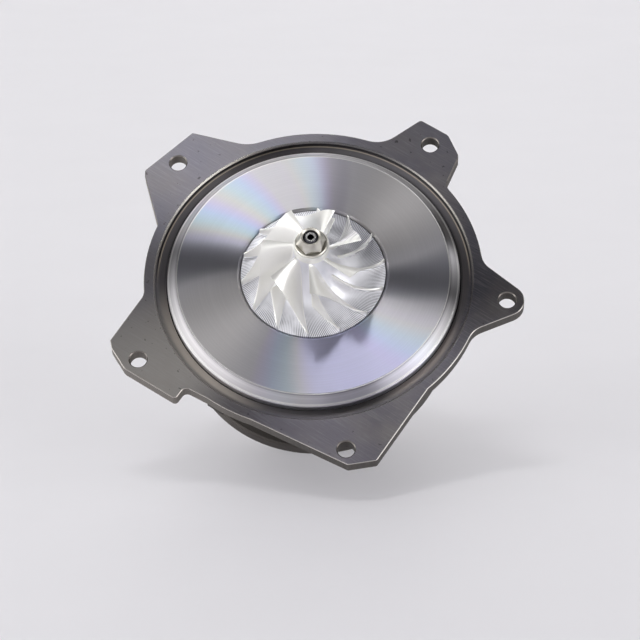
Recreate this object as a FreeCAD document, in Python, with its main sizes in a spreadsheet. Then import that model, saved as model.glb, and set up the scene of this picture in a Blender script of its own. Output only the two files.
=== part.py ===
import FreeCAD, Part
import math
import os
import Sketcher

# Turbocharger cartridge: bearing housing, diffuser plate, rotor with two bladed wheels, floating bearings,
# thrust bearing and seals. Millimetres and degrees. +Z is the rotor axis towards the compressor nose, and
# the origin is on that axis in the front face of the compressor flange.

V = FreeCAD.Vector

DRIVING = [
    ("flange_thickness", 5.0, "compressor flange, front to back"),
    ("bolt_circle_radius", 75.0, "circle of the five flange bolts"),
    ("ring_inset", 9.6, "bolt circle in to the round part of the flange"),
    ("flange_wall", 4.4, "round part of the flange in to the cover's bore"),
    ("bolt_hole_diameter", 6.6, "M6 clearance hole"),
    ("bolt_hole_chamfer", 0.4, "edge break of a bolt hole"),
    ("cover_bore_chamfer", 0.5, "edge break of the cover's bore"),
    ("cover_ledge_depth", 1.5, "depth of the cover's ledge at its outside"),
    ("cover_ledge_slope", 0.8, "fall of the ledge towards the plate"),
    ("cover_ledge_width", 4.15, "ledge that the cover stands on, in to the gap round the plate"),
    ("plate_gap", 0.45, "gap round the diffuser plate"),
    ("plate_rise", 3.3, "diffuser face above the flange face"),
    ("plate_bevel", 3.5, "radial width of the bevel round the diffuser face"),
    ("plate_thickness", 8.3, "diffuser face to the plate's back"),
    ("pocket_floor_drop", 3.1, "diffuser face to the floor of the wheel's pocket"),
    ("pocket_clearance", 0.8, "radial gap round the compressor wheel"),
    ("pocket_bevel", 0.7, "edge break of the wheel's pocket"),
    ("ring_groove_height", 2.0, "O-ring groove in the plate's edge"),
    ("ring_groove_depth", 1.2, "O-ring groove in the plate's edge"),
    ("plate_screw_inset", 5.5, "wall of the wheel's pocket in to the plate's screws"),
    ("plate_screw_radius", 2.0, "M4 screw"),
    ("plate_screw_length", 12.0, "screw under the pocket's floor"),
    ("plate_screw_count", 4, "screws of the diffuser plate"),
    ("compressor_radius", 27.8, "outside of the compressor wheel"),
    ("inducer_radius", 19.2, "tips of the full blades at the inlet"),
    ("wheel_rim_drop", 0.65, "diffuser face to the front of the wheel's rim"),
    ("wheel_rim_thickness", 1.2, "rim of the compressor wheel"),
    ("exit_width", 2.45, "blade height at the outside"),
    ("inducer_height", 17.3, "diffuser face to the blades' leading edge"),
    ("nose_height", 21.7, "diffuser face to the compressor wheel's nose"),
    ("nose_radius", 6.8, "hub of the compressor wheel at its nose"),
    ("full_blade_count", 7, "full blades, with as many splitters between them"),
    ("blade_exit_angle", -42.0, "angle of the first full blade at the outside"),
    ("blade_wrap", 50.0, "turn of a full blade from inlet to outside"),
    ("blade_lean", 6.0, "how far a leading edge's hub end trails its tip"),
    ("blade_tip_thickness", 0.45, "compressor blade at its tip"),
    ("blade_root_thickness", 0.95, "compressor blade at its root"),
    ("splitter_start", 0.33, "share of a full blade in front of the splitter"),
    ("stub_radius", 3.0, "shaft through the compressor wheel, M6 at its end"),
    ("stub_clearance", 0.02, "radial clearance of what slides on the stub"),
    ("stub_reach", 5.0, "shaft end beyond the compressor wheel's nose"),
    ("nut_across_flats", 10.0, "shaft nut"),
    ("nut_base_radius", 6.2, "shaft nut's collar"),
    ("nut_base_height", 0.8, "shaft nut's collar"),
    ("nut_height", 5.6, "shaft nut"),
    ("nut_top_radius", 3.9, "narrow end of the shaft nut's cone"),
    ("back_boss_drop", 4.1, "diffuser face to the compressor wheel's back boss"),
    ("seal_bore_radius", 8.0, "compressor side seal bore in the diffuser plate"),
    ("seal_land_clearance", 0.25, "gap between a seal land and its bore"),
    ("seal_ring_width", 1.1, "compressor and turbine seal rings"),
    ("seal_ring_play", 0.1, "a seal ring in its groove, along the axis"),
    ("seal_ring_depth", 1.4, "seal ring from outside to inside"),
    ("flinger_radius", 11.0, "oil flinger disc"),
    ("flinger_length", 7.4, "oil flinger sleeve"),
    ("flinger_disc_thickness", 2.6, "oil flinger disc"),
    ("thrust_play", 0.05, "play on each side of the thrust bearing"),
    ("thrust_thickness", 3.5, "thrust bearing"),
    ("thrust_radius", 17.3, "outside of the thrust bearing"),
    ("thrust_hub_radius", 6.1, "thrust collar inside the thrust bearing"),
    ("thrust_collar_radius", 10.0, "thrust collar's flange"),
    ("thrust_collar_thickness", 2.0, "thrust collar's flange"),
    ("thrust_pin_radius", 1.25, "pins that hold the thrust bearing"),
    ("thrust_pin_circle", 15.3, "radius of the circle of the thrust pins"),
    ("journal_radius", 5.0, "shaft in its bearings"),
    ("journal_clearance", 0.03, "radial oil gap between shaft and bearing"),
    ("bearing_radius", 7.95, "outside of a floating bearing"),
    ("bearing_clearance", 0.05, "radial oil gap between bearing and housing"),
    ("bearing_length", 7.5, "floating bearing"),
    ("compressor_bearing_z", -20.95, "middle of the compressor side bearing"),
    ("turbine_bearing_z", -40.65, "middle of the turbine side bearing"),
    ("circlip_thickness", 1.0, "retaining ring beside a floating bearing"),
    ("circlip_depth", 0.7, "depth of a retaining ring's groove"),
    ("circlip_play", 0.2, "floating bearing to its retaining ring"),
    ("barrel_radius", 28.0, "middle of the bearing housing"),
    ("turbine_flange_radius", 52.0, "turbine side flange"),
    ("turbine_flange_top", -43.5, "compressor side face of the turbine flange"),
    ("turbine_flange_thickness", 5.0, "turbine side flange"),
    ("turbine_pilot_radius", 45.0, "spigot that centres the turbine housing"),
    ("turbine_pilot_length", 4.5, "spigot that centres the turbine housing"),
    ("turbine_seal_radius", 9.0, "turbine side seal bore"),
    ("shaft_hub_end", -58.2, "joint of the shaft and the turbine wheel"),
    ("shield_thickness", 0.8, "sheet of the heat shield"),
    ("shield_dish", 3.0, "how far the heat shield bulges"),
    ("turbine_radius", 25.0, "outside of the turbine wheel"),
    ("turbine_disc_radius", 21.8, "back disc of the turbine wheel"),
    ("turbine_exit_radius", 21.4, "turbine blades at the outlet"),
    ("turbine_inlet_width", 6.0, "turbine blades at the inlet"),
    ("turbine_length", 21.8, "joint with the shaft to the turbine blades' end"),
    ("turbine_hub_radius", 6.6, "hub of the turbine wheel at the outlet"),
    ("turbine_nose_length", 8.5, "nose beyond the turbine blades"),
    ("turbine_blade_count", 11, "blades of the turbine wheel"),
    ("turbine_wrap", 46.0, "turn of a turbine blade from inlet to outlet"),
    ("oil_port_z", -30.8, "height of the oil inlet and the oil drain"),
    ("oil_inlet_reach", 37.0, "face of the oil inlet from the axis"),
    ("oil_inlet_radius", 5.25, "M12 x 1.5 thread, at its minor diameter"),
    ("oil_inlet_depth", 13.0, "threaded depth of the oil inlet"),
    ("drain_reach", 40.0, "face of the oil drain from the axis"),
    ("drain_bore_radius", 9.0, "oil drain"),
    ("drain_pad_thickness", 9.0, "oil drain flange"),
    ("drain_hole_pitch", 36.0, "spacing of the drain's two screws"),
    ("drain_hole_radius", 3.4, "M8 thread, at its minor diameter"),
]

# Each lug: its name, the angle of its bolt about the axis, the root where its outline leaves the round part of
# the flange, its corners, and the root where it returns. A root is (angle from the bolt, depth inside the round
# part). A corner is (outwards, sideways, rounding) from the bolt hole, outwards being away from the rotor axis.
LUGS = [
    ("upper_left", 135.4, (-23.58, 0.91),
     [(6.1, -13.8, 0.8), (7.1, 11.3, 1.6), (5.1, 13.3, 1.6)],
     (24.13, 1.08)),
    ("upper_right", 52.1, (-15.47, 2.42),
     [(2.5, -12.3, 3.4), (7.9, -2.9, 3.4), (7.1, 10.0, 1.5)],
     (15.26, 3.1)),
    ("right", -8.9, (-14.89, 1.97),
     [(12.5, -0.2, 6.8)],
     (16.26, 2.9)),
    ("bottom", -80.6, (-39.13, 0.43),
     [(6.5, -0.5, 0.8), (6.6, 10.4, 1.2)],
     (37.19, 1.38)),
    ("lower_left", -152.3, (-25.38, 2.87),
     [(5.8, -12.6, 0.8), (6.9, -9.1, 2.0), (6.4, 1.1, 4.0), (-4.8, 22.0, 1.5), (-10.3, 19.0, 2.2)],
     (32.61, 0.46)),
]


class Size:
    """A dimension that keeps the spreadsheet formula it comes from."""

    def __init__(self, value, text):
        self.value = value
        self.text = text

    def __add__(self, other):
        return Size(self.value + number(other), f"({self.text} + {formula(other)})")

    def __radd__(self, other):
        return Size(number(other) + self.value, f"({formula(other)} + {self.text})")

    def __sub__(self, other):
        return Size(self.value - number(other), f"({self.text} - {formula(other)})")

    def __rsub__(self, other):
        return Size(number(other) - self.value, f"({formula(other)} - {self.text})")

    def __mul__(self, other):
        return Size(self.value * number(other), f"({self.text} * {formula(other)})")

    def __rmul__(self, other):
        return self * other

    def __truediv__(self, other):
        return Size(self.value / number(other), f"({self.text} / {formula(other)})")

    def __neg__(self):
        return Size(-self.value, f"(0 - {self.text})")


def number(size):
    """Plain number of a size or a number."""
    return size.value if isinstance(size, Size) else float(size)


def formula(size):
    """Spreadsheet formula of a size or a number."""
    return size.text if isinstance(size, Size) else f"({float(size)!r})"


doc = FreeCAD.newDocument("turbo_cartridge")
sheet = doc.addObject("Spreadsheet::Sheet", "Sizes")
for row, (alias, value, meaning) in enumerate(DRIVING, start=1):
    sheet.set(f"A{row}", alias)
    sheet.set(f"B{row}", str(value))
    sheet.set(f"C{row}", meaning)
    sheet.setAlias(f"B{row}", alias)
doc.recompute()
D = {alias: Size(float(value), f"Sizes.{alias}") for alias, value, meaning in DRIVING}


def new_body(label):
    """An empty body whose label is its node's name."""
    body = doc.addObject("PartDesign::Body", label)
    body.Label = label
    return body


def origin_part(body, role):
    """The body's own origin plane or axis with that role."""
    return next(item for item in body.Origin.OriginFeatures if item.Role == role)


def bind(item, path, size):
    """Sets a property to a size and keeps its formula."""
    setattr(item, path, number(size))
    if isinstance(size, Size):
        item.setExpression(path, size.text)


def new_sketch(body, name, role, height=0, turn=0):
    """A sketch on an origin plane, raised along its normal and turned about its own vertical."""
    sketch = body.newObject("Sketcher::SketchObject", name)
    sketch.AttachmentSupport = (origin_part(body, role), "")
    sketch.MapMode = "FlatFace"
    sketch.AttachmentOffset = FreeCAD.Placement(V(0, 0, number(height)), FreeCAD.Rotation(V(0, 1, 0), turn))
    if isinstance(height, Size):
        sketch.setExpression("AttachmentOffset.Base.z", height.text)
    return sketch


def place_point(sketch, line, end, x, y):
    """Constrains one end of a line or one centre to x, y from the sketch's origin."""
    for kind, axis, size in (("DistanceX", -2, x), ("DistanceY", -1, y)):
        if number(size) == 0:
            sketch.addConstraint(Sketcher.Constraint("PointOnObject", line, end, axis))
            continue
        place = sketch.addConstraint(Sketcher.Constraint(kind, -1, 1, line, end, number(size)))
        if isinstance(size, Size):
            sketch.setExpression(f"Constraints[{place}]", size.text)


def draw_outline(sketch, points):
    """Closed chain of straight lines through the points."""
    corners = [V(number(x), number(y), 0) for x, y in points]
    first = sketch.GeometryCount
    count = len(points)
    for index in range(count):
        sketch.addGeometry(Part.LineSegment(corners[index], corners[(index + 1) % count]), False)
    for index in range(count):
        sketch.addConstraint(Sketcher.Constraint("Coincident", first + index, 2, first + (index + 1) % count, 1))
    for index, (x, y) in enumerate(points):
        place_point(sketch, first + index, 1, x, y)
    return sketch


def draw_circle(sketch, x, y, radius):
    """Circle with its centre and radius constrained."""
    index = sketch.addGeometry(Part.Circle(V(number(x), number(y), 0), V(0, 0, 1), number(radius)), False)
    place_point(sketch, index, 3, x, y)
    place = sketch.addConstraint(Sketcher.Constraint("Radius", index, number(radius)))
    if isinstance(radius, Size):
        sketch.setExpression(f"Constraints[{place}]", radius.text)
    return sketch


def turn(body, name, points, kind="Revolution", angle=360, role="XZ_Plane", both_ways=False, axis_x=None):
    """Turned feature from a half section given as (radius, height) points."""
    before = volume(body)
    sketch = draw_outline(new_sketch(body, name + "Section", role), points)
    axis = "V_Axis"
    if axis_x is not None:
        line = Part.LineSegment(V(number(axis_x), -1, 0), V(number(axis_x), 1, 0))
        index = sketch.addGeometry(line, True)
        place_point(sketch, index, 1, axis_x, -1)
        place_point(sketch, index, 2, axis_x, 1)
        axis = "Axis0"
    feature = body.newObject("PartDesign::" + kind, name)
    feature.Profile = sketch
    feature.ReferenceAxis = (sketch, [axis])
    feature.Midplane = both_ways
    bind(feature, "Angle", angle)
    finish_feature(body, feature, before, kind == "Groove")
    return feature


def pad(body, name, sketch, length, back=False, both_ways=False):
    """Material on one or both sides of a sketch."""
    before = volume(body)
    feature = body.newObject("PartDesign::Pad", name)
    feature.Profile = sketch
    feature.Reversed = back
    feature.Midplane = both_ways
    bind(feature, "Length", length)
    finish_feature(body, feature, before, False)
    return feature


def pocket(body, name, sketch, length, back=False, both_ways=False):
    """Cut on one or both sides of a sketch."""
    before = volume(body)
    feature = body.newObject("PartDesign::Pocket", name)
    feature.Profile = sketch
    feature.Reversed = back
    feature.Midplane = both_ways
    bind(feature, "Length", length)
    finish_feature(body, feature, before, True)
    return feature


def polar(body, name, feature, count, angle=360):
    """Copies of a feature about the rotor axis."""
    pattern = body.newObject("PartDesign::PolarPattern", name)
    pattern.Originals = [feature]
    pattern.Axis = (origin_part(body, "Z_Axis"), [""])
    pattern.Angle = angle
    pattern.Occurrences = int(number(count))
    if isinstance(count, Size):
        pattern.setExpression("Occurrences", count.text)
    body.Tip = pattern
    doc.recompute()
    return pattern


def volume(body):
    """Volume of a body so far."""
    return body.Tip.Shape.Volume if body.Tip is not None else 0.0


def finish_feature(body, feature, before, cuts):
    """Makes the feature the body's tip and tests that it added or cut material."""
    body.Tip = feature
    doc.recompute()
    change = feature.Shape.Volume - before
    if (change >= 0) if cuts else (change <= 0):
        raise RuntimeError(f"{body.Label}: {feature.Name} changed nothing")


def dress(body, kind, name, size, wanted):
    """Fillet or chamfer on the tip's edges that the test wants."""
    base = body.Tip
    names = [f"Edge{index}" for index, edge in enumerate(base.Shape.Edges, start=1) if wanted(edge)]
    if not names:
        raise RuntimeError(f"{body.Label}: {name} found no edge")
    feature = body.newObject("PartDesign::" + kind, name)
    feature.Base = (base, names)
    bind(feature, "Radius" if kind == "Fillet" else "Size", size)
    body.Tip = feature
    doc.recompute()
    return feature


def is_circle(edge, radius, height):
    """Whether an edge is a level circle of that radius at that height."""
    curve = edge.Curve
    if not isinstance(curve, Part.Circle):
        return False
    level = abs(abs(curve.Axis.z) - 1) < 1e-6
    return level and abs(curve.Radius - number(radius)) < 1e-4 and abs(curve.Center.z - number(height)) < 1e-4


def is_upright_at(edge, x, y, reach):
    """Whether an edge stands parallel to the rotor axis within reach of a point of the flange."""
    low, high = edge.Vertexes[0].Point, edge.Vertexes[-1].Point
    upright = abs(low.x - high.x) < 1e-5 and abs(low.y - high.y) < 1e-5
    return upright and math.hypot(low.x - x, low.y - y) < reach


# Radii and heights that several pieces share
RING_RADIUS = D["bolt_circle_radius"] - D["ring_inset"]
COVER_BORE = RING_RADIUS - D["flange_wall"]
PLATE_RADIUS = COVER_BORE - D["cover_ledge_width"] - D["plate_gap"]
POCKET_RADIUS = D["compressor_radius"] + D["pocket_clearance"]
PLATE_SCREW_CIRCLE = POCKET_RADIUS - D["plate_screw_inset"]
PLATE_BACK = D["plate_rise"] - D["plate_thickness"]
POCKET_FLOOR = D["plate_rise"] - D["pocket_floor_drop"]
WHEEL_RIM_TOP = D["plate_rise"] - D["wheel_rim_drop"]
WHEEL_RIM_BACK = WHEEL_RIM_TOP - D["wheel_rim_thickness"]
WHEEL_BOSS = D["plate_rise"] - D["back_boss_drop"]
WHEEL_NOSE = D["plate_rise"] + D["nose_height"]
FLINGER_END = WHEEL_BOSS - D["flinger_length"]
THRUST_TOP = FLINGER_END - D["thrust_play"]
THRUST_SEAT = THRUST_TOP - D["thrust_thickness"]
COLLAR_TOP = THRUST_SEAT - D["thrust_play"]
COLLAR_END = COLLAR_TOP - D["thrust_collar_thickness"]
DEFLECTOR_TOP = THRUST_TOP + D["shield_thickness"]
HOUSING_BORE = D["bearing_radius"] + D["bearing_clearance"]
TURBINE_FLANGE_FACE = D["turbine_flange_top"] - D["turbine_flange_thickness"]
PILOT_END = TURBINE_FLANGE_FACE - D["turbine_pilot_length"]
CHAMBER_RADIUS = D["thrust_radius"] + 0.2
COLLAR_RECESS_RADIUS = D["thrust_collar_radius"] + 0.8
COLLAR_RECESS_END = COLLAR_END - 1.6
SEAL_CAVITY_RADIUS = 16.0
SEAL_CAVITY_TOP = PILOT_END + 6.6
SEAL_CAVITY_END = PILOT_END + 5.4
TURBINE_BOSS_END = PILOT_END - 1.3
CIRCLIP_HEIGHTS = [
    D["compressor_bearing_z"] + D["bearing_length"] / 2 + D["circlip_play"] + D["circlip_thickness"],
    D["compressor_bearing_z"] - D["bearing_length"] / 2 - D["circlip_play"],
    D["turbine_bearing_z"] + D["bearing_length"] / 2 + D["circlip_play"] + D["circlip_thickness"],
    D["turbine_bearing_z"] - D["bearing_length"] / 2 - D["circlip_play"],
]
GROOVE_PLAY = 0.05
THRUST_FEED = D["thrust_radius"] - 3.1
GALLERY_END = HOUSING_BORE + 11


def lug_root(angle, root):
    """Point inside the round part of the flange where a lug's outline starts or ends."""
    turned, depth = root
    bearing = math.radians(angle + turned)
    return (RING_RADIUS - depth) * math.cos(bearing), (RING_RADIUS - depth) * math.sin(bearing)


def lug_frame(angle, outwards, sideways):
    """A lug corner in the flange's own plane."""
    cosine, sine = math.cos(math.radians(angle)), math.sin(math.radians(angle))
    radius = D["bolt_circle_radius"] + outwards
    return radius * cosine - sideways * sine, radius * sine + sideways * cosine


def add_lugs(body):
    """The five lugs of the compressor flange, with the rounding of their corners and valleys."""
    for name, angle, start, corners, end in LUGS:
        points = [lug_root(angle, start)]
        points += [lug_frame(angle, outwards, sideways) for outwards, sideways, rounding in corners]
        points += [lug_root(angle, end), lug_root(angle, (0, 6.5))]
        sketch = draw_outline(new_sketch(body, name + "_outline", "XY_Plane"), points)
        pad(body, name + "_lug", sketch, D["flange_thickness"], back=True)
    for name, angle, start, corners, end in LUGS:
        for index, (outwards, sideways, rounding) in enumerate(corners, start=1):
            if rounding:
                x, y = (number(value) for value in lug_frame(angle, outwards, sideways))
                dress(body, "Fillet", f"{name}_corner_{index}", rounding,
                      lambda edge: is_upright_at(edge, x, y, 0.3))


# Rounding of the valleys where a lug runs into the round part: lug, side of the bolt hole, radius
VALLEYS = [
    ("upper_left", -1, 15.0), ("upper_left", 1, 1.2), ("upper_right", 1, 11.0), ("upper_right", -1, 4.0),
    ("right", 1, 8.0), ("right", -1, 9.0), ("bottom", 1, 1.0), ("lower_left", -1, 5.0),
]


def round_valleys(body):
    """Hollow rounding between each lug and the round part of the flange."""
    angles = {name: angle for name, angle, start, corners, end in LUGS}
    ring = number(RING_RADIUS)
    for name, side, radius in VALLEYS:
        uprights = []
        for edge in body.Tip.Shape.Edges:
            start = edge.Vertexes[0].Point
            off_ring = abs(math.hypot(start.x, start.y) - ring)
            bearing = math.degrees(math.atan2(start.y, start.x)) - angles[name]
            bearing = (bearing + 180) % 360 - 180
            if off_ring < 0.02 and 0 < bearing * side < 60 and is_upright_at(edge, start.x, start.y, 1):
                uprights.append((abs(bearing), start))
        if uprights:
            start = min(uprights, key=lambda item: item[0])[1]
            dress(body, "Fillet", f"{name}_valley_{'left' if side > 0 else 'right'}", radius,
                  lambda edge: is_upright_at(edge, start.x, start.y, 0.05))


def make_rib(name, angle, reach, outer_depth, thickness):
    """Gusset between the compressor flange and the barrel."""
    body = new_body(name)
    barrel = D["barrel_radius"] - 3
    over, under = -D["flange_thickness"] + 1.5, -D["flange_thickness"] - 1.5
    points = [(barrel, under), (PLATE_RADIUS + 1, under), (PLATE_RADIUS + 2.5, over), (reach, over),
              (reach, -D["flange_thickness"] - outer_depth), (barrel + 9, -19), (barrel, -25)]
    pad(body, name + "_pad", draw_outline(new_sketch(body, name + "_outline", "XZ_Plane", turn=angle), points),
        thickness, both_ways=True)
    return body


def make_casting():
    """The bearing housing before its holes are drilled."""
    body = new_body("housing_casting")
    flange_back = -D["flange_thickness"]
    barrel = D["barrel_radius"]
    turbine_top = D["turbine_flange_top"]
    turn(body, "Casting", [
        (0, 0), (RING_RADIUS, 0), (RING_RADIUS, flange_back), (RING_RADIUS - 4.4, flange_back),
        (RING_RADIUS - 7.4, flange_back - 4), (barrel + 8, flange_back - 7), (barrel + 2, flange_back - 10),
        (barrel, flange_back - 14), (barrel, turbine_top + 9), (barrel + 3, turbine_top + 3),
        (barrel + 8, turbine_top), (D["turbine_flange_radius"], turbine_top),
        (D["turbine_flange_radius"], TURBINE_FLANGE_FACE), (D["turbine_pilot_radius"], TURBINE_FLANGE_FACE),
        (D["turbine_pilot_radius"], PILOT_END), (D["turbine_pilot_radius"] - 4.5, PILOT_END),
        (D["turbine_pilot_radius"] - 7, PILOT_END + 3), (D["turbine_seal_radius"] + 8, PILOT_END + 3),
        (D["turbine_seal_radius"] + 6, TURBINE_BOSS_END), (0, TURBINE_BOSS_END),
    ])
    add_lugs(body)
    round_valleys(body)
    inlet = draw_circle(new_sketch(body, "InletBossOutline", "XZ_Plane"), 0, D["oil_port_z"], 11)
    pad(body, "InletBoss", inlet, D["oil_inlet_reach"], back=True)
    neck = draw_circle(new_sketch(body, "DrainNeckOutline", "XZ_Plane"), 0, D["oil_port_z"],
                       D["drain_bore_radius"] + 3)
    pad(body, "DrainNeck", neck, D["drain_reach"])
    half, drop = D["drain_hole_pitch"] / 2 + 7, 11.5
    ear = D["drain_hole_radius"] + 3
    face = new_sketch(body, "DrainFlangeOutline", "XZ_Plane", D["drain_reach"] - D["drain_pad_thickness"])
    port = D["oil_port_z"]
    draw_outline(face, [(-half, port - ear), (-half + ear, port - drop), (half - ear, port - drop),
                        (half, port - ear), (half, port + ear), (half - ear, port + drop),
                        (-half + ear, port + drop), (-half, port + ear)])
    pad(body, "DrainFlange", face, D["drain_pad_thickness"])
    dress(body, "Chamfer", "TurbineFlangeEdge", 0.8,
          lambda edge: is_circle(edge, D["turbine_flange_radius"], turbine_top))
    dress(body, "Chamfer", "PilotEdge", 0.6,
          lambda edge: is_circle(edge, D["turbine_pilot_radius"], PILOT_END))
    turn(body, "TurnedInside", housing_inside(), "Groove")
    inner, outer = -HOUSING_BORE - 5.2, 4.5 - barrel
    top, end = COLLAR_RECESS_END - 1.1, turbine_top + 1.5
    turn(body, "DrainCavity", [(outer, top), (inner, top), (inner, end), (outer, end)], "Groove", angle=200,
         role="YZ_Plane", both_ways=True)
    return body


def housing_inside():
    """Half section of everything that is turned out of the housing, from the cover's bore to the seal bore."""
    recess = PLATE_RADIUS + D["plate_gap"]
    ledge = -D["cover_ledge_depth"]
    points = [
        (0, 5), (COVER_BORE + D["cover_bore_chamfer"], 5), (COVER_BORE + D["cover_bore_chamfer"], 0),
        (COVER_BORE, -D["cover_bore_chamfer"]), (COVER_BORE, ledge),
        (recess, ledge - D["cover_ledge_slope"]), (recess, PLATE_BACK), (CHAMBER_RADIUS, PLATE_BACK),
        (CHAMBER_RADIUS, THRUST_SEAT), (COLLAR_RECESS_RADIUS, THRUST_SEAT),
        (COLLAR_RECESS_RADIUS, COLLAR_RECESS_END), (HOUSING_BORE, COLLAR_RECESS_END),
    ]
    groove = HOUSING_BORE + D["circlip_depth"]
    relief_top = D["compressor_bearing_z"] - D["bearing_length"] / 2 - 2.2
    relief_end = D["turbine_bearing_z"] + D["bearing_length"] / 2 + 2.2
    for index, top in enumerate(CIRCLIP_HEIGHTS):
        if index == 2:
            points += [(HOUSING_BORE, relief_top), (HOUSING_BORE + 1.5, relief_top),
                       (HOUSING_BORE + 1.5, relief_end), (HOUSING_BORE, relief_end)]
        upper, lower = top + GROOVE_PLAY, top - D["circlip_thickness"] - GROOVE_PLAY
        points += [(HOUSING_BORE, upper), (groove, upper), (groove, lower), (HOUSING_BORE, lower)]
    points += [
        (HOUSING_BORE, SEAL_CAVITY_TOP), (SEAL_CAVITY_RADIUS, SEAL_CAVITY_TOP),
        (SEAL_CAVITY_RADIUS, SEAL_CAVITY_END), (D["turbine_seal_radius"], SEAL_CAVITY_END),
        (D["turbine_seal_radius"], TURBINE_BOSS_END - 1), (0, TURBINE_BOSS_END - 1),
    ]
    return points


def drill(name, radius, start, end):
    """Drill that runs from one point to another."""
    start, end = (V(*(number(value) for value in point)) for point in (start, end))
    cylinder = doc.addObject("Part::Cylinder", name)
    bind(cylinder, "Radius", radius)
    cylinder.Height = (end - start).Length
    cylinder.Placement = FreeCAD.Placement(start, FreeCAD.Rotation(V(0, 0, 1), end - start))
    return cylinder


def make_bearing_housing():
    """Drilled and chamfered bearing housing."""
    casting = make_casting()
    port = D["oil_port_z"]
    drain_drop = D["drain_reach"] + 1
    flange_back = -D["flange_thickness"]
    tools = [
        drill("inlet_thread", D["oil_inlet_radius"], (0, D["oil_inlet_reach"] + 1, port),
              (0, D["oil_inlet_reach"] - D["oil_inlet_depth"], port)),
        drill("inlet_gallery", 2.0, (0, D["oil_inlet_reach"] - 5, port), (0, GALLERY_END - 1, port)),
        drill("feed_compressor_bearing", 1.5, (0, GALLERY_END, port),
              (0, HOUSING_BORE - 1, D["compressor_bearing_z"])),
        drill("feed_turbine_bearing", 1.5, (0, GALLERY_END, port), (0, HOUSING_BORE - 1, D["turbine_bearing_z"])),
        drill("feed_thrust_bearing", 1.2, (0, GALLERY_END, port), (0, THRUST_FEED, THRUST_SEAT + 0.5)),
        drill("drain_bore", D["drain_bore_radius"], (0, -15, port), (0, -drain_drop, port)),
        drill("drain_window", 4.0, (0, -HOUSING_BORE + 1, port), (0, -16, port)),
        drill("thrust_drain", 1.7, (0, 2.3 - CHAMBER_RADIUS, THRUST_SEAT + 0.5),
              (0, 2.3 - CHAMBER_RADIUS, COLLAR_RECESS_END - 2.6)),
        drill("seal_drain", 1.4, (0, 2 - SEAL_CAVITY_RADIUS, SEAL_CAVITY_TOP - 0.5),
              (0, 2 - SEAL_CAVITY_RADIUS, D["turbine_flange_top"] + 3.5)),
    ]
    for side in (-1, 1):
        across = D["drain_hole_pitch"] / 2 * side
        tools.append(drill(f"drain_screw_{side + 2}", D["drain_hole_radius"], (across, -drain_drop, port),
                           (across, D["drain_pad_thickness"] - D["drain_reach"] - 1, port)))
        tools.append(drill(f"pin_hole_{side + 2}", D["thrust_pin_radius"] + 0.05,
                           (D["thrust_pin_circle"] * side, 0, THRUST_SEAT + 0.5),
                           (D["thrust_pin_circle"] * side, 0, THRUST_SEAT - 2.8)))
    for index in range(int(number(D["plate_screw_count"]))):
        angle = math.radians(45 + 360 / number(D["plate_screw_count"]) * index)
        x, y = PLATE_SCREW_CIRCLE * math.cos(angle), PLATE_SCREW_CIRCLE * math.sin(angle)
        tools.append(drill(f"plate_screw_hole_{index}", D["plate_screw_radius"] + 0.05, (x, y, PLATE_BACK + 1),
                           (x, y, POCKET_FLOOR - D["plate_screw_length"] - 0.6)))
    for name, angle, start, corners, end in LUGS:
        x, y = lug_frame(angle, 0, 0)
        tools.append(drill(name + "_hole", D["bolt_hole_diameter"] / 2, (x, y, 1), (x, y, flange_back - 20)))
        radius, chamfer = D["bolt_hole_diameter"] / 2, D["bolt_hole_chamfer"]
        mouth = doc.addObject("Part::Cone", name + "_mouth")
        bind(mouth, "Radius1", radius)
        bind(mouth, "Radius2", radius + chamfer + 0.1)
        bind(mouth, "Height", chamfer + 0.1)
        mouth.Placement.Base = V(number(x), number(y), -number(chamfer))
        mouth.setExpression("Placement.Base.z", (-chamfer).text)
        tools.append(mouth)
    ribs = [make_rib(name + "_rib", angle, RING_RADIUS - 2, 2.5, 5) for name, angle, start, corners, end in LUGS]
    ribs.append(make_rib("drain_side_rib", -125.4, RING_RADIUS - 0.8, 3.5, 7))
    ribbed = doc.addObject("Part::MultiFuse", "ribbed_casting")
    ribbed.Shapes = [casting] + ribs
    drills = doc.addObject("Part::MultiFuse", "housing_drills")
    drills.Shapes = tools
    housing = doc.addObject("Part::Cut", "bearing_housing")
    housing.Label = "bearing_housing"
    housing.Base = ribbed
    housing.Tool = drills
    doc.recompute()
    return housing


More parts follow.
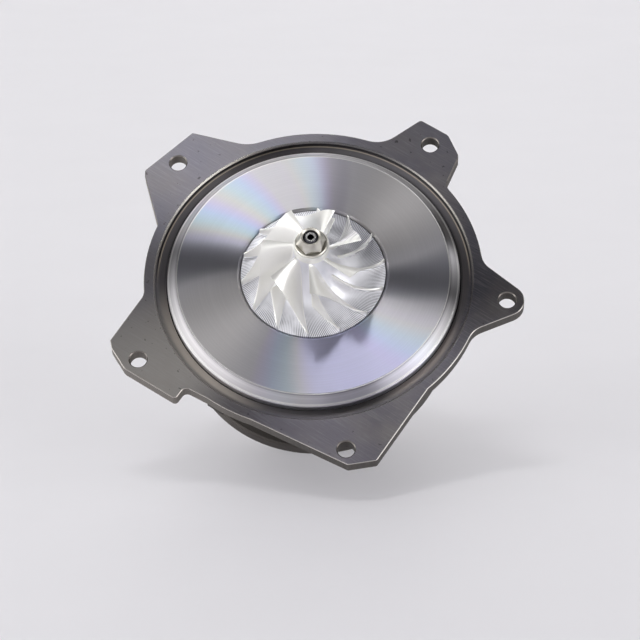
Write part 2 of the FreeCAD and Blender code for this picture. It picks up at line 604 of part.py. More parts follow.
def make_diffuser_plate():
    """Turned plate behind the compressor wheel, which is also the inner wall of the diffuser."""
    body = new_body("diffuser_plate")
    face = D["plate_rise"]
    groove_top = PLATE_BACK + 0.5 + D["ring_groove_height"]
    groove_floor = PLATE_RADIUS - D["ring_groove_depth"]
    clamp = CHAMBER_RADIUS - 0.3
    turn(body, "Plate", [
        (D["seal_bore_radius"], WHEEL_BOSS - 0.8), (D["seal_bore_radius"] + 1.8, WHEEL_BOSS - 0.8),
        (D["seal_bore_radius"] + 4.8, POCKET_FLOOR), (POCKET_RADIUS, POCKET_FLOOR),
        (POCKET_RADIUS, face - D["pocket_bevel"]), (POCKET_RADIUS + D["pocket_bevel"], face),
        (PLATE_RADIUS - D["plate_bevel"] - 0.25, face), (PLATE_RADIUS - D["plate_bevel"], face - 0.25),
        (PLATE_RADIUS, 0), (PLATE_RADIUS, groove_top), (groove_floor, groove_top),
        (groove_floor, groove_top - D["ring_groove_height"]),
        (PLATE_RADIUS, groove_top - D["ring_groove_height"]), (PLATE_RADIUS, PLATE_BACK),
        (clamp, PLATE_BACK), (clamp, DEFLECTOR_TOP), (clamp - 3, DEFLECTOR_TOP), (clamp - 3, PLATE_BACK),
        (D["seal_bore_radius"], PLATE_BACK),
    ])
    spot = new_sketch(body, "ScrewHoleOutline", "XY_Plane", POCKET_FLOOR, turn=0)
    diagonal = math.sqrt(0.5)
    draw_circle(spot, PLATE_SCREW_CIRCLE * diagonal, PLATE_SCREW_CIRCLE * diagonal,
                D["plate_screw_radius"] + 0.2)
    hole = pocket(body, "ScrewHole", spot, D["plate_thickness"])
    polar(body, "ScrewHoles", hole, D["plate_screw_count"])
    dress(body, "Chamfer", "Countersinks", 1.9,
          lambda edge: is_circle(edge, D["plate_screw_radius"] + 0.2, POCKET_FLOOR))
    return body


def make_plate_screws():
    """Four countersunk screws that hold the diffuser plate, under the compressor wheel."""
    body = new_body("plate_screws")
    body.AllowCompound = True
    axis = PLATE_SCREW_CIRCLE
    shank, top = D["plate_screw_radius"], POCKET_FLOOR - 0.1
    screw = turn(body, "Screw", [
        (axis, top), (axis + shank + 1.9, top), (axis + shank, top - 1.9),
        (axis + shank, POCKET_FLOOR - D["plate_screw_length"] + 0.4),
        (axis + shank - 0.5, POCKET_FLOOR - D["plate_screw_length"]), (axis, POCKET_FLOOR - D["plate_screw_length"]),
    ], axis_x=axis)
    sketch = new_sketch(body, "SocketOutline", "XY_Plane", top)
    corner = 1.25 / math.cos(math.radians(30))
    draw_outline(sketch, [(axis + corner * math.cos(math.radians(60 * index)),
                           corner * math.sin(math.radians(60 * index))) for index in range(6)])
    socket = pocket(body, "Socket", sketch, 1.5)
    pattern = polar(body, "Screws", screw, D["plate_screw_count"])
    pattern.Originals = [screw, socket]
    doc.recompute()
    body.Placement = FreeCAD.Placement(V(), FreeCAD.Rotation(V(0, 0, 1), 45))
    return body


def make_plate_o_ring():
    """O-ring in the edge of the diffuser plate."""
    ring = doc.addObject("Part::Torus", "plate_o_ring")
    ring.Label = "plate_o_ring"
    inside = PLATE_RADIUS - D["ring_groove_depth"]
    thickness = D["ring_groove_depth"] + D["plate_gap"] - 0.04
    bind(ring, "Radius1", inside + 0.02 + thickness / 2)
    bind(ring, "Radius2", thickness / 2)
    height = PLATE_BACK + 0.5 + D["ring_groove_height"] / 2
    ring.Placement.Base = V(0, 0, number(height))
    ring.setExpression("Placement.Base.z", height.text)
    return ring


def quarter(start, end, share, axial_first=True):
    """Point on the quarter ellipse between two (radius, height) points, axial at one end, radial at the other."""
    sweep = share * math.pi / 2
    soft, quick = 1 - math.cos(sweep), math.sin(sweep)
    along_radius, along_height = (soft, quick) if axial_first else (quick, soft)
    return start[0] + (end[0] - start[0]) * along_radius, start[1] + (end[1] - start[1]) * along_height


def turned_point(radius, height, angle):
    """Point at a radius, a height and an angle about the rotor axis."""
    return V(radius * math.cos(math.radians(angle)), radius * math.sin(math.radians(angle)), height)


def blade_solid(root, tip, shares, root_thickness, tip_thickness, bury):
    """Blade lofted through flat four-sided sections. root and tip give a point for each share of its length."""
    step = 1e-3
    wires = []
    for share in shares:
        low, high = root(share), tip(share)
        ahead, behind = min(share + step, 1.0), max(share - step, 0.0)
        middle_run = (root(ahead) + tip(ahead)) - (root(behind) + tip(behind))
        across = (high - low).normalize()
        normal = middle_run.cross(across).normalize()
        low = low - across * bury
        corners = [low + normal * root_thickness / 2, low - normal * root_thickness / 2,
                   high - normal * tip_thickness / 2, high + normal * tip_thickness / 2]
        wires.append(Part.makePolygon(corners + corners[:1]))
    return Part.makeLoft(wires, True, False)


def spun_solid(edges):
    """Solid turned about the rotor axis from the edges of a half section."""
    return Part.Face(Part.Wire(edges)).revolve(V(0, 0, 0), V(0, 0, 1), 360)


def section_edges(points, curve):
    """Straight edges through (radius, height) points, closed by a smooth curve from the last to the first."""
    places = [V(radius, 0, height) for radius, height in points]
    edges = [Part.LineSegment(first, second).toShape() for first, second in zip(places, places[1:])]
    spline = Part.BSplineCurve()
    spline.interpolate([V(radius, 0, height) for radius, height in curve])
    return edges + [spline.toShape()]


def make_compressor_wheel():
    """Milled wheel: turned hub with seven full blades and seven splitters that curve back at the outside."""
    size = {alias: number(value) for alias, value in D.items()}
    rim_top, rim_back = number(WHEEL_RIM_TOP), number(WHEEL_RIM_BACK)
    boss, nose = number(WHEEL_BOSS), number(WHEEL_NOSE)
    leading = size["plate_rise"] + size["inducer_height"]
    outside = size["compressor_radius"]
    bore = size["stub_radius"] + size["stub_clearance"]
    hub_start, hub_end = (size["nose_radius"], leading + 0.6), (outside, rim_top)
    tip_start, tip_end = (size["inducer_radius"], leading), (outside, rim_top + size["exit_width"])
    boss_radius = size["seal_bore_radius"] + 1
    hub_points = [
        (outside, rim_top), (outside, rim_back), (boss_radius + 3, rim_back), (boss_radius, boss), (bore, boss),
        (bore, nose), (size["nose_radius"] - 0.5, nose), (size["nose_radius"], nose - 0.5), hub_start,
    ]
    hub = spun_solid(section_edges(hub_points, [quarter(hub_start, hub_end, index / 8) for index in range(9)]))
    early = 0.015
    power = 0.44

    def progress(share):
        """Share of a blade's turn: quick at the inlet, then steady."""
        return ((share + early) ** power - early ** power) / ((1 + early) ** power - early ** power)

    def blade(exit_angle, first_share):
        """One blade, from a share of the full length to the outside."""
        def edge(start, end, lean):
            """Edge of the blade as a function of the share of its length."""
            entry = exit_angle - size["blade_wrap"] - lean
            return lambda share: turned_point(*quarter(start, end, share),
                                              entry + (exit_angle - entry) * progress(share))
        steps = 5
        shares = [first_share + (1 - first_share) * (index / steps) ** 1.8 for index in range(steps + 1)]
        return blade_solid(edge(hub_start, hub_end, size["blade_lean"]), edge(tip_start, tip_end, 0), shares,
                           size["blade_root_thickness"], size["blade_tip_thickness"], 0.5)

    count = int(size["full_blade_count"])
    blades = []
    for index in range(count):
        angle = size["blade_exit_angle"] + 360 / count * index
        blades.append(blade(angle, 0.0))
        blades.append(blade(angle + 180 / count, size["splitter_start"]))
    envelope = Part.makeCylinder(outside, nose + 20, V(0, 0, rim_back - 5))
    wheel = doc.addObject("Part::Feature", "compressor_wheel")
    wheel.Label = "compressor_wheel"
    wheel.Shape = hub.multiFuse([shape.common(envelope) for shape in blades]).removeSplitter()
    return wheel


def make_turbine_wheel():
    """Cast radial turbine wheel: hub with a back disc and eleven blades that turn away at the outlet."""
    size = {alias: number(value) for alias, value in D.items()}
    joint = size["shaft_hub_end"]
    outlet = joint - size["turbine_length"]
    nose_end = outlet - size["turbine_nose_length"]
    inlet_top = joint - 1.4
    root_start, root_end = (size["turbine_radius"], inlet_top), (size["turbine_hub_radius"], outlet)
    tip_start = (size["turbine_radius"], inlet_top - size["turbine_inlet_width"])
    tip_end = (size["turbine_exit_radius"], outlet)
    disc_share = math.asin((size["turbine_radius"] - size["turbine_disc_radius"])
                           / (size["turbine_radius"] - size["turbine_hub_radius"])) * 2 / math.pi
    hub_curve = [quarter(root_start, root_end, disc_share + (1 - disc_share) * index / 8, False)
                 for index in range(9)]
    hub_radius, disc_radius = size["turbine_hub_radius"], size["turbine_disc_radius"]
    hub_points = [
        (hub_radius, outlet), (hub_radius, outlet - 3.5), (0, outlet - 3.5), (0, joint),
        (size["turbine_seal_radius"], joint), (disc_radius, joint - 0.6), hub_curve[0],
    ]
    hub = spun_solid(section_edges(hub_points, hub_curve))
    flats = 9.0
    corner = flats / 2 / math.cos(math.radians(30))
    hexagon = [turned_point(corner, nose_end, 60 * index) for index in range(7)]
    nose = Part.Face(Part.makePolygon(hexagon)).extrude(V(0, 0, outlet - 3 - nose_end))
    centre = Part.makeCone(2.2, 0, 2.2, V(0, 0, nose_end))

    def blade(inlet_angle):
        """One blade, radial at the inlet and turned at the outlet."""
        def edge(start, end, wrap):
            """Edge of the blade as a function of the share of its length."""
            return lambda share: turned_point(*quarter(start, end, share, False),
                                              inlet_angle + wrap * share ** 2.2)
        shares = [index / 4 for index in range(5)]
        return blade_solid(edge(root_start, root_end, size["turbine_wrap"] * 0.8),
                           edge(tip_start, tip_end, size["turbine_wrap"]), shares, 1.7, 0.8, 0.6)

    count = int(size["turbine_blade_count"])
    blades = [blade(360 / count * index) for index in range(count)]
    envelope = Part.makeCylinder(size["turbine_radius"], 60, V(0, 0, joint - 60))
    wheel = doc.addObject("Part::Feature", "turbine_wheel")
    wheel.Label = "turbine_wheel"
    solid = hub.multiFuse([shape.common(envelope) for shape in blades] + [nose]).cut(centre)
    wheel.Shape = solid.removeSplitter()
    return wheel


def make_rotor_shaft():
    """Shaft with the compressor stub, two journals and the turbine side seal hub."""
    body = new_body("rotor_shaft")
    stub, journal = D["stub_radius"], D["journal_radius"]
    top = WHEEL_NOSE + D["stub_reach"]
    hub = D["turbine_seal_radius"] - D["seal_land_clearance"]
    ring_top = SEAL_CAVITY_END - 2.6
    ring_end = ring_top - D["seal_ring_width"] - D["seal_ring_play"]
    ring_floor = D["turbine_seal_radius"] - D["seal_ring_depth"] - 0.3
    waist_top = D["compressor_bearing_z"] - D["bearing_length"] / 2 - 1.6
    waist_end = D["turbine_bearing_z"] + D["bearing_length"] / 2 + 1.6
    turn(body, "Shaft", [
        (0, top - 3), (1.1, top - 2.4), (1.1, top - 0.25), (1.35, top), (stub - 0.8, top), (stub, top - 0.8),
        (stub, COLLAR_END), (journal - 0.3, COLLAR_END), (journal, COLLAR_END - 0.3), (journal, waist_top),
        (journal - 0.4, waist_top - 0.5), (journal - 0.4, waist_end + 0.5), (journal, waist_end),
        (journal, SEAL_CAVITY_END + 0.6), (hub - 1.5, SEAL_CAVITY_END + 0.6), (hub, SEAL_CAVITY_END - 0.6),
        (hub, ring_top), (ring_floor, ring_top), (ring_floor, ring_end), (hub, ring_end),
        (hub, D["shaft_hub_end"]), (journal - 0.5, D["shaft_hub_end"]), (journal - 0.5, D["shaft_hub_end"] + 4),
        (0, D["shaft_hub_end"] + 4),
    ])
    return body


def make_shaft_nut():
    """Collared hexagon nut whose corners are turned to a cone."""
    body = new_body("shaft_nut")
    base_top = WHEEL_NOSE + D["nut_base_height"]
    top = WHEEL_NOSE + D["nut_height"]
    collar = draw_circle(new_sketch(body, "CollarOutline", "XY_Plane", WHEEL_NOSE), 0, 0, D["nut_base_radius"])
    pad(body, "Collar", collar, D["nut_base_height"])
    corner = D["nut_across_flats"] / 2 / math.cos(math.radians(30))
    hexagon = new_sketch(body, "HexagonOutline", "XY_Plane", base_top)
    draw_outline(hexagon, [(corner * math.cos(math.radians(60 * index + 10)),
                            corner * math.sin(math.radians(60 * index + 10))) for index in range(6)])
    pad(body, "Hexagon", hexagon, D["nut_height"] - D["nut_base_height"])
    turn(body, "Cone", [
        (D["nut_base_radius"], base_top), (D["nut_base_radius"] + 3, base_top),
        (D["nut_base_radius"] + 3, top + 1), (D["nut_top_radius"], top + 1), (D["nut_top_radius"], top),
    ], "Groove")
    bore = draw_circle(new_sketch(body, "ThreadOutline", "XY_Plane", top + 1), 0, 0,
                       D["stub_radius"] + D["stub_clearance"])
    pocket(body, "Thread", bore, D["nut_height"] + 2)
    dress(body, "Chamfer", "ThreadMouth", 0.7,
          lambda edge: is_circle(edge, D["stub_radius"] + D["stub_clearance"], top))
    return body


def make_oil_flinger():
    """Sleeve behind the compressor wheel with the seal land and the oil throwing disc."""
    body = new_body("oil_flinger")
    land = D["seal_bore_radius"] - D["seal_land_clearance"]
    bore = D["stub_radius"] + D["stub_clearance"]
    floor = D["seal_bore_radius"] - D["seal_ring_depth"] - 0.3
    ring_top = WHEEL_BOSS - 1.9
    ring_end = ring_top - D["seal_ring_width"] - D["seal_ring_play"]
    disc_top = FLINGER_END + D["flinger_disc_thickness"]
    turn(body, "Sleeve", [
        (bore, WHEEL_BOSS), (land, WHEEL_BOSS), (land, ring_top), (floor, ring_top), (floor, ring_end),
        (land, ring_end), (land, disc_top + 0.4), (land + 0.6, disc_top), (D["flinger_radius"] - 1, disc_top),
        (D["flinger_radius"], disc_top - 1), (D["flinger_radius"], FLINGER_END), (bore, FLINGER_END),
    ])
    return body


def make_thrust_collar():
    """Collar that runs on the back of the thrust bearing."""
    body = new_body("thrust_collar")
    bore = D["stub_radius"] + D["stub_clearance"]
    turn(body, "Collar", [
        (bore, FLINGER_END), (D["thrust_hub_radius"], FLINGER_END), (D["thrust_hub_radius"], COLLAR_TOP),
        (D["thrust_collar_radius"], COLLAR_TOP), (D["thrust_collar_radius"], COLLAR_END + 0.5),
        (D["thrust_collar_radius"] - 0.5, COLLAR_END), (bore, COLLAR_END),
    ])
    return body


def make_thrust_bearing():
    """Fixed bronze thrust plate with oil grooves in both faces and a flat for the drain."""
    body = new_body("thrust_bearing")
    bore = D["thrust_hub_radius"] + 0.2
    turn(body, "Plate", [(bore, THRUST_TOP), (D["thrust_radius"], THRUST_TOP), (D["thrust_radius"], THRUST_SEAT),
                         (bore, THRUST_SEAT)])
    for name, height, back in (("Front", THRUST_TOP, False), ("Back", THRUST_SEAT, True)):
        sketch = new_sketch(body, name + "GrooveOutline", "XY_Plane", height)
        draw_outline(sketch, [(bore - 1, -0.6), (D["thrust_collar_radius"] - 0.6, -0.6),
                              (D["thrust_collar_radius"] - 0.6, 0.6), (bore - 1, 0.6)])
        groove = pocket(body, name + "Groove", sketch, 0.4, back=back)
        polar(body, name + "Grooves", groove, 6)
    feed = draw_circle(new_sketch(body, "FeedPortOutline", "XY_Plane", THRUST_SEAT), 0, THRUST_FEED, 1.2)
    pocket(body, "FeedPort", feed, D["thrust_thickness"] / 2 + 0.4, back=True)
    middle = (THRUST_TOP + THRUST_SEAT) / 2
    duct = draw_circle(new_sketch(body, "FeedDuctOutline", "XZ_Plane"), 0, middle, 0.7)
    pocket(body, "FeedDuct", duct, THRUST_FEED)
    flat = new_sketch(body, "FlatOutline", "XY_Plane", THRUST_TOP)
    reach = D["thrust_radius"] + 1
    level = 4.3 - D["thrust_radius"]
    draw_outline(flat, [(-reach, -reach), (reach, -reach), (reach, level), (-reach, level)])
    pocket(body, "Flat", flat, D["thrust_thickness"])
    pins = new_sketch(body, "PinHoleOutline", "XY_Plane", THRUST_TOP)
    draw_circle(pins, D["thrust_pin_circle"], 0, D["thrust_pin_radius"] + 0.05)
    hole = pocket(body, "PinHole", pins, D["thrust_thickness"])
    polar(body, "PinHoles", hole, 2)
    return body


def make_thrust_pins():
    """Two pins that keep the thrust bearing from turning."""
    body = new_body("thrust_pins")
    body.AllowCompound = True
    sketch = new_sketch(body, "PinOutline", "XY_Plane", THRUST_SEAT - 2.6)
    draw_circle(sketch, D["thrust_pin_circle"], 0, D["thrust_pin_radius"])
    pin = pad(body, "Pin", sketch, D["thrust_thickness"] + 2.4)
    polar(body, "Pins", pin, 2)
    return body


def make_oil_deflector():
    """Pressed sheet ring that keeps thrown oil away from the seal."""
    body = new_body("oil_deflector")
    lip = D["flinger_radius"] + 1
    wall = D["shield_thickness"]
    outside = CHAMBER_RADIUS - 0.3
    turn(body, "Sheet", [(lip, THRUST_TOP), (outside, THRUST_TOP), (outside, DEFLECTOR_TOP),
                         (lip + wall, DEFLECTOR_TOP), (lip + wall, DEFLECTOR_TOP + 1.4),
                         (lip, DEFLECTOR_TOP + 1.4)])
    notch = new_sketch(body, "NotchOutline", "XY_Plane", DEFLECTOR_TOP + 2)
    draw_outline(notch, [(-5, -outside - 1), (5, -outside - 1), (5, 3.8 - outside), (-5, 3.8 - outside)])
    pocket(body, "Notch", notch, 5)
    return body


def make_seal_ring(label, outside, top):
    """Split seal ring that grips its bore and runs in a groove of the rotor."""
    body = new_body(label)
    outer = outside - 0.01
    inner = outside - D["seal_ring_depth"]
    upper = top - D["seal_ring_play"] / 2
    lower = upper - D["seal_ring_width"]
    turn(body, "Ring", [(inner, lower), (outer, lower), (outer, upper), (inner, upper)], angle=356)
    return body


def make_circlip(label, top):
    """Open spring ring that retains a floating bearing."""
    body = new_body(label)
    inner = D["bearing_radius"] - 0.75
    outer = HOUSING_BORE + D["circlip_depth"] - 0.05
    lower = top - D["circlip_thickness"]
    turn(body, "Ring", [(inner, lower), (outer, lower), (outer, top), (inner, top)], angle=318)
    return body


def make_journal_bearing(label, middle):
    """Fully floating bronze bearing with six oil holes."""
    body = new_body(label)
    inner, outer = D["journal_radius"] + D["journal_clearance"], D["bearing_radius"]
    top, end = middle + D["bearing_length"] / 2, middle - D["bearing_length"] / 2
    bevel = 0.4
    turn(body, "Bush", [(inner, end + bevel), (inner + bevel, end), (outer - bevel, end), (outer, end + bevel),
                        (outer, top - bevel), (outer - bevel, top), (inner + bevel, top), (inner, top - bevel)])
    sketch = draw_circle(new_sketch(body, "OilHoleOutline", "XZ_Plane"), 0, middle, 1.0)
    hole = pocket(body, "OilHole", sketch, outer * 2 + 2, both_ways=True)
    polar(body, "OilHoles", hole, 3, angle=180)
    return body


def make_heat_shield():
    """Pressed sheet dish between the turbine wheel and the housing."""
    body = new_body("heat_shield")
    sheet_wall = D["shield_thickness"]
    rim = D["turbine_pilot_radius"] - 0.6
    floor = PILOT_END - D["shield_dish"]
    hole = D["turbine_seal_radius"] + 0.5
    turn(body, "Sheet", [
        (hole, floor), (hole, floor - sheet_wall), (rim - 11.4, floor - sheet_wall),
        (rim - 4.8, PILOT_END - sheet_wall), (rim, PILOT_END - sheet_wall), (rim, PILOT_END),
        (rim - 5.2, PILOT_END), (rim - 11.8, floor),
    ])
    return body


nodes = [
    make_bearing_housing(), make_diffuser_plate(), make_plate_screws(), make_plate_o_ring(),
    make_compressor_wheel(), make_turbine_wheel(), make_rotor_shaft(), make_shaft_nut(), make_oil_flinger(),
    make_thrust_collar(), make_thrust_bearing(), make_thrust_pins(), make_oil_deflector(),
    make_seal_ring("compressor_seal_ring", D["seal_bore_radius"], WHEEL_BOSS - 1.9),
    make_seal_ring("turbine_seal_ring", D["turbine_seal_radius"], SEAL_CAVITY_END - 2.6),
    make_journal_bearing("compressor_bearing", D["compressor_bearing_z"]),
    make_journal_bearing("turbine_bearing", D["turbine_bearing_z"]),
    make_heat_shield(),
]
for position, height in enumerate(CIRCLIP_HEIGHTS, start=1):
    nodes.append(make_circlip(f"bearing_circlip_{position}", height))

doc.recompute()
for item in doc.Objects:
    if "Invalid" in item.State or "Error" in item.State:
        raise RuntimeError(f"{item.Label} is {item.State}")
for node in nodes:
    if node.Shape.isNull() or not node.Shape.isValid():
        raise RuntimeError(f"{node.Label} has no valid shape")

os.makedirs("parts", exist_ok=True)
for node in nodes:
    node.Shape.exportStep(f"parts/{node.Label}.step")
    print(node.Label, len(node.Shape.Solids), round(node.Shape.Volume, 1))
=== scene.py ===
"""Looks of a turbocharger cartridge: turned plate, milled compressor wheel, lugged cast housing, turbine wheel.

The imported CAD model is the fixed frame. Lengths are given in millimetres and turned to metres by mm().
"""

import logging
import math
from dataclasses import dataclass, field
from enum import Enum
from typing import Callable, Optional, Sequence

import bmesh
import bpy
from mathutils import Matrix, Vector


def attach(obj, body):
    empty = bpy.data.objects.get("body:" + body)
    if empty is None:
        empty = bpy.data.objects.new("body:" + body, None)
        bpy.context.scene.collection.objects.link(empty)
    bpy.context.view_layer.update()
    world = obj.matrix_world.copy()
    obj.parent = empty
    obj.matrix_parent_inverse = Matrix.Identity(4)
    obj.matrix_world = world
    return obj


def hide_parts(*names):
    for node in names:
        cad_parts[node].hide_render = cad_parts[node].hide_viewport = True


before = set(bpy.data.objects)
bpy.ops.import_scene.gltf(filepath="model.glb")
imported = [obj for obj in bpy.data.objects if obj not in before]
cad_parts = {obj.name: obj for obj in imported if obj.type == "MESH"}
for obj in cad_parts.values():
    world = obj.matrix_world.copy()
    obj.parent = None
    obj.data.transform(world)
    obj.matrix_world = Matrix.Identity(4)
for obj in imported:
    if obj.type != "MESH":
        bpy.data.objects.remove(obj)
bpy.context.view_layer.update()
LOG = logging.getLogger("cartridge")
Socket = bpy.types.NodeSocket
Profile = Sequence[tuple[float, float]]


def mm(value: float) -> float:
    """Metres for a length in millimetres."""
    return value / 1000.0


def linear(colour: str) -> tuple[float, float, float, float]:
    """Linear colour for an sRGB hex value.

    Args:
        colour: six hex digits, such as "a0a2a8".

    Returns:
        Red, green, blue and an alpha of 1.
    """
    values = [int(colour[start:start + 2], 16) / 255 for start in (0, 2, 4)]
    return (*(value / 12.92 if value <= 0.04045 else ((value + 0.055) / 1.055) ** 2.4 for value in values), 1.0)


def add(tree: bpy.types.NodeTree, kind: str, inputs: Optional[dict] = None, **settings: object) -> bpy.types.Node:
    """Adds a node to a tree with its settings, values and links.

    Args:
        tree: the material's or world's node tree.
        kind: the node's type name.
        inputs: socket name or index to a value, or to the output socket that feeds it.
        settings: properties of the node.

    Returns:
        The new node.
    """
    node = tree.nodes.new(kind)
    for name, value in settings.items():
        setattr(node, name, value)
    for key, value in (inputs or {}).items():
        if isinstance(value, bpy.types.NodeSocket):
            tree.links.new(value, node.inputs[key])
        else:
            node.inputs[key].default_value = value
    return node


class Field:
    """Places on a piece, as sockets of its material's tree that patterns are drawn from."""

    def __init__(self, tree: bpy.types.NodeTree) -> None:
        """Makes the sockets for the object's own coordinates about the rotor axis.

        Args:
            tree: the material's node tree.
        """
        self.tree = tree
        self.place = add(tree, "ShaderNodeTexCoord").outputs["Object"]
        parts = add(tree, "ShaderNodeSeparateXYZ", {0: self.place})
        self.x, self.y, self.z = (parts.outputs[index] for index in range(3))
        self.outward = add(tree, "ShaderNodeCombineXYZ", {0: self.x, 1: self.y}).outputs[0]
        self.radius = add(tree, "ShaderNodeVectorMath", {0: self.outward}, operation="LENGTH").outputs["Value"]
        self.angle = self.math("ARCTAN2", self.y, self.x)

    def math(self, operation: str, first: object, second: object = 0.0, third: object = 0.0) -> Socket:
        """Result of a Math node on sockets or numbers."""
        node = add(self.tree, "ShaderNodeMath", {0: first, 1: second, 2: third}, operation=operation)
        return node.outputs[0]

    def times(self, *factors: object) -> Socket:
        """Product of sockets and numbers."""
        product = factors[0]
        for factor in factors[1:]:
            product = self.math("MULTIPLY", product, factor)
        return product

    def invert(self, share: Socket) -> Socket:
        """One less a share."""
        return self.math("SUBTRACT", 1.0, share)

    def step(self, value: Socket, low: float, high: float) -> Socket:
        """Smooth step from 0 at low to 1 at high."""
        node = add(self.tree, "ShaderNodeMapRange", {"Value": value, "From Min": low, "From Max": high},
                   interpolation_type="SMOOTHSTEP")
        return node.outputs["Result"]

    def past(self, length: Socket, low: float, high: float) -> Socket:
        """Smooth step from 0 at low millimetres to 1 at high millimetres."""
        return self.step(length, mm(low), mm(high))

    def edge(self, length: Socket, middle: float, soft: float = 0.1) -> Socket:
        """Smooth step about a middle in millimetres, soft millimetres wide on either side."""
        return self.past(length, middle - soft, middle + soft)

    def band(self, length: Socket, low: float, high: float) -> Socket:
        """Share of 1 between two lengths in millimetres, soft at both ends."""
        return self.times(self.edge(length, low), self.invert(self.edge(length, high)))

    def sector(self, centre: float, reach: float, angle: Optional[Socket] = None) -> Socket:
        """Smooth share of 1 at an azimuth in degrees and 0 from reach degrees off it."""
        off = self.math("SUBTRACT", angle or self.angle, math.radians(centre))
        return self.step(self.math("COSINE", off), math.cos(math.radians(reach)), 1.0)

    def sectors(self, colour: object, marks: Sequence[tuple[float, float, float, str]],
                angle: Optional[Socket] = None) -> Socket:
        """Colour with soft sectors, each a centre and a reach in degrees, a share and an sRGB hex."""
        for centre, reach, share, shade in marks:
            colour = self.mix(self.times(self.sector(centre, reach, angle), share), colour, linear(shade))
        return colour

    def noise(self, size: float, detail: float = 4.0, vector: Optional[Socket] = None,
              roughness: float = 0.55) -> Socket:
        """Noise whose lumps are about size millimetres across.

        Args:
            size: millimetres from lump to lump.
            detail: octaves.
            vector: where it is read, or None for the object's own coordinates.
            roughness: strength of the finer octaves.

        Returns:
            A value from 0 to 1.
        """
        node = add(self.tree, "ShaderNodeTexNoise", {
            "Vector": vector or self.place, "Scale": 1.0 / mm(size), "Detail": detail, "Roughness": roughness})
        return node.outputs["Fac"]

    def rings(self, spacing: float, detail: float = 3.0) -> Socket:
        """Uneven lathe rings about the rotor axis, spacing millimetres apart."""
        section = add(self.tree, "ShaderNodeCombineXYZ", {0: self.radius, 1: self.z}).outputs[0]
        node = add(self.tree, "ShaderNodeTexNoise", {
            "Vector": section, "Scale": 1.0 / mm(spacing), "Detail": detail, "Roughness": 0.7},
            noise_dimensions="2D")
        return node.outputs["Fac"]

    def mix(self, share: object, first: object, second: object) -> Socket:
        """Colour between two colours."""
        node = add(self.tree, "ShaderNodeMix", data_type="RGBA")
        for index, value in ((0, share), (6, first), (7, second)):
            if isinstance(value, bpy.types.NodeSocket):
                self.tree.links.new(value, node.inputs[index])
            else:
                node.inputs[index].default_value = value
        return node.outputs[2]

    def blend(self, share: Socket, first: object, second: object) -> Socket:
        """Number between two numbers."""
        node = add(self.tree, "ShaderNodeMix", {0: share, 2: first, 3: second}, data_type="FLOAT")
        return node.outputs[0]

    def ramp(self, value: Socket, stops: Sequence[tuple[float, str]]) -> Socket:
        """Colour read from stops of (position, sRGB hex)."""
        node = add(self.tree, "ShaderNodeValToRGB", {0: value})
        points = node.color_ramp.elements
        while len(points) < len(stops):
            points.new(1.0)
        for point, (position, colour) in zip(points, stops):
            point.position = position
            point.color = linear(colour)
        return node.outputs["Color"]

    def radial_tangent(self) -> Socket:
        """Direction away from the rotor axis, across the rings of a turned face."""
        turned = add(self.tree, "ShaderNodeVectorTransform", {0: self.outward}, vector_type="VECTOR",
                     convert_from="OBJECT", convert_to="WORLD")
        return add(self.tree, "ShaderNodeVectorMath", {0: turned.outputs[0]}, operation="NORMALIZE").outputs[0]

    def bump(self, height: Socket, depth: float, normal: Optional[Socket] = None) -> Socket:
        """Bumped normal for heights from 0 to 1 that are depth millimetres deep."""
        inputs = {"Height": height, "Distance": mm(depth), "Strength": 1.0}
        if normal is not None:
            inputs["Normal"] = normal
        return add(self.tree, "ShaderNodeBump", inputs).outputs["Normal"]


def new_material(name: str) -> tuple[bpy.types.Material, bpy.types.Node, Field]:
    """Empty material with a Principled shader.

    Args:
        name: the material's name.

    Returns:
        The material, its Principled node and its field of places.
    """
    material = bpy.data.materials.new(name)
    material.use_nodes = True
    tree = material.node_tree
    return material, tree.nodes["Principled BSDF"], Field(tree)


def feed(tree: bpy.types.NodeTree, shader: bpy.types.Node, **inputs: object) -> None:
    """Sets or links inputs of the shader; an underscore in a name stands for a space."""
    for name, value in inputs.items():
        socket = shader.inputs[name.replace("_", " ")]
        if isinstance(value, bpy.types.NodeSocket):
            tree.links.new(value, socket)
        else:
            socket.default_value = value


class Marks(Enum):
    """How a metal surface was made."""

    CAST = "lumpy skin of a mould"
    TURNED = "rings about the rotor axis"
    GROUND = "close fine rings"
    PRESSED = "drawn sheet with soft scuffs"


@dataclass(frozen=True)
class Metal:
    """Plain metal of the pieces that carry one finish all over."""

    name: str
    colour: str
    worn: str
    roughness: float
    marks: Marks
    spacing: float
    depth: float
    dark_band: tuple[float, float] = (0.0, 0.0)
    band_colour: str = "3a332c"

    def material(self) -> bpy.types.Material:
        """Procedural material of this metal, darker in a band between two heights."""
        material, shader, place = new_material(self.name)
        tree = material.node_tree
        patches = place.noise(9.0, 5.0)
        if self.marks in (Marks.TURNED, Marks.GROUND):
            relief = place.rings(self.spacing)
            feed(tree, shader, Anisotropic=0.6, Tangent=place.radial_tangent())
        else:
            relief = place.noise(self.spacing, 6.0)
        colour = place.mix(place.step(patches, 0.35, 0.72), linear(self.colour), linear(self.worn))
        # Darker band between two heights.
        low, high = self.dark_band
        if high > low:
            colour = place.mix(place.times(place.band(place.z, low, high), 0.55), colour, linear(self.band_colour))
        rough = place.blend(relief, self.roughness - 0.07, self.roughness + 0.10)
        feed(tree, shader, Base_Color=colour, Metallic=1.0, Roughness=rough,
             Normal=place.bump(relief, self.depth))
        return material


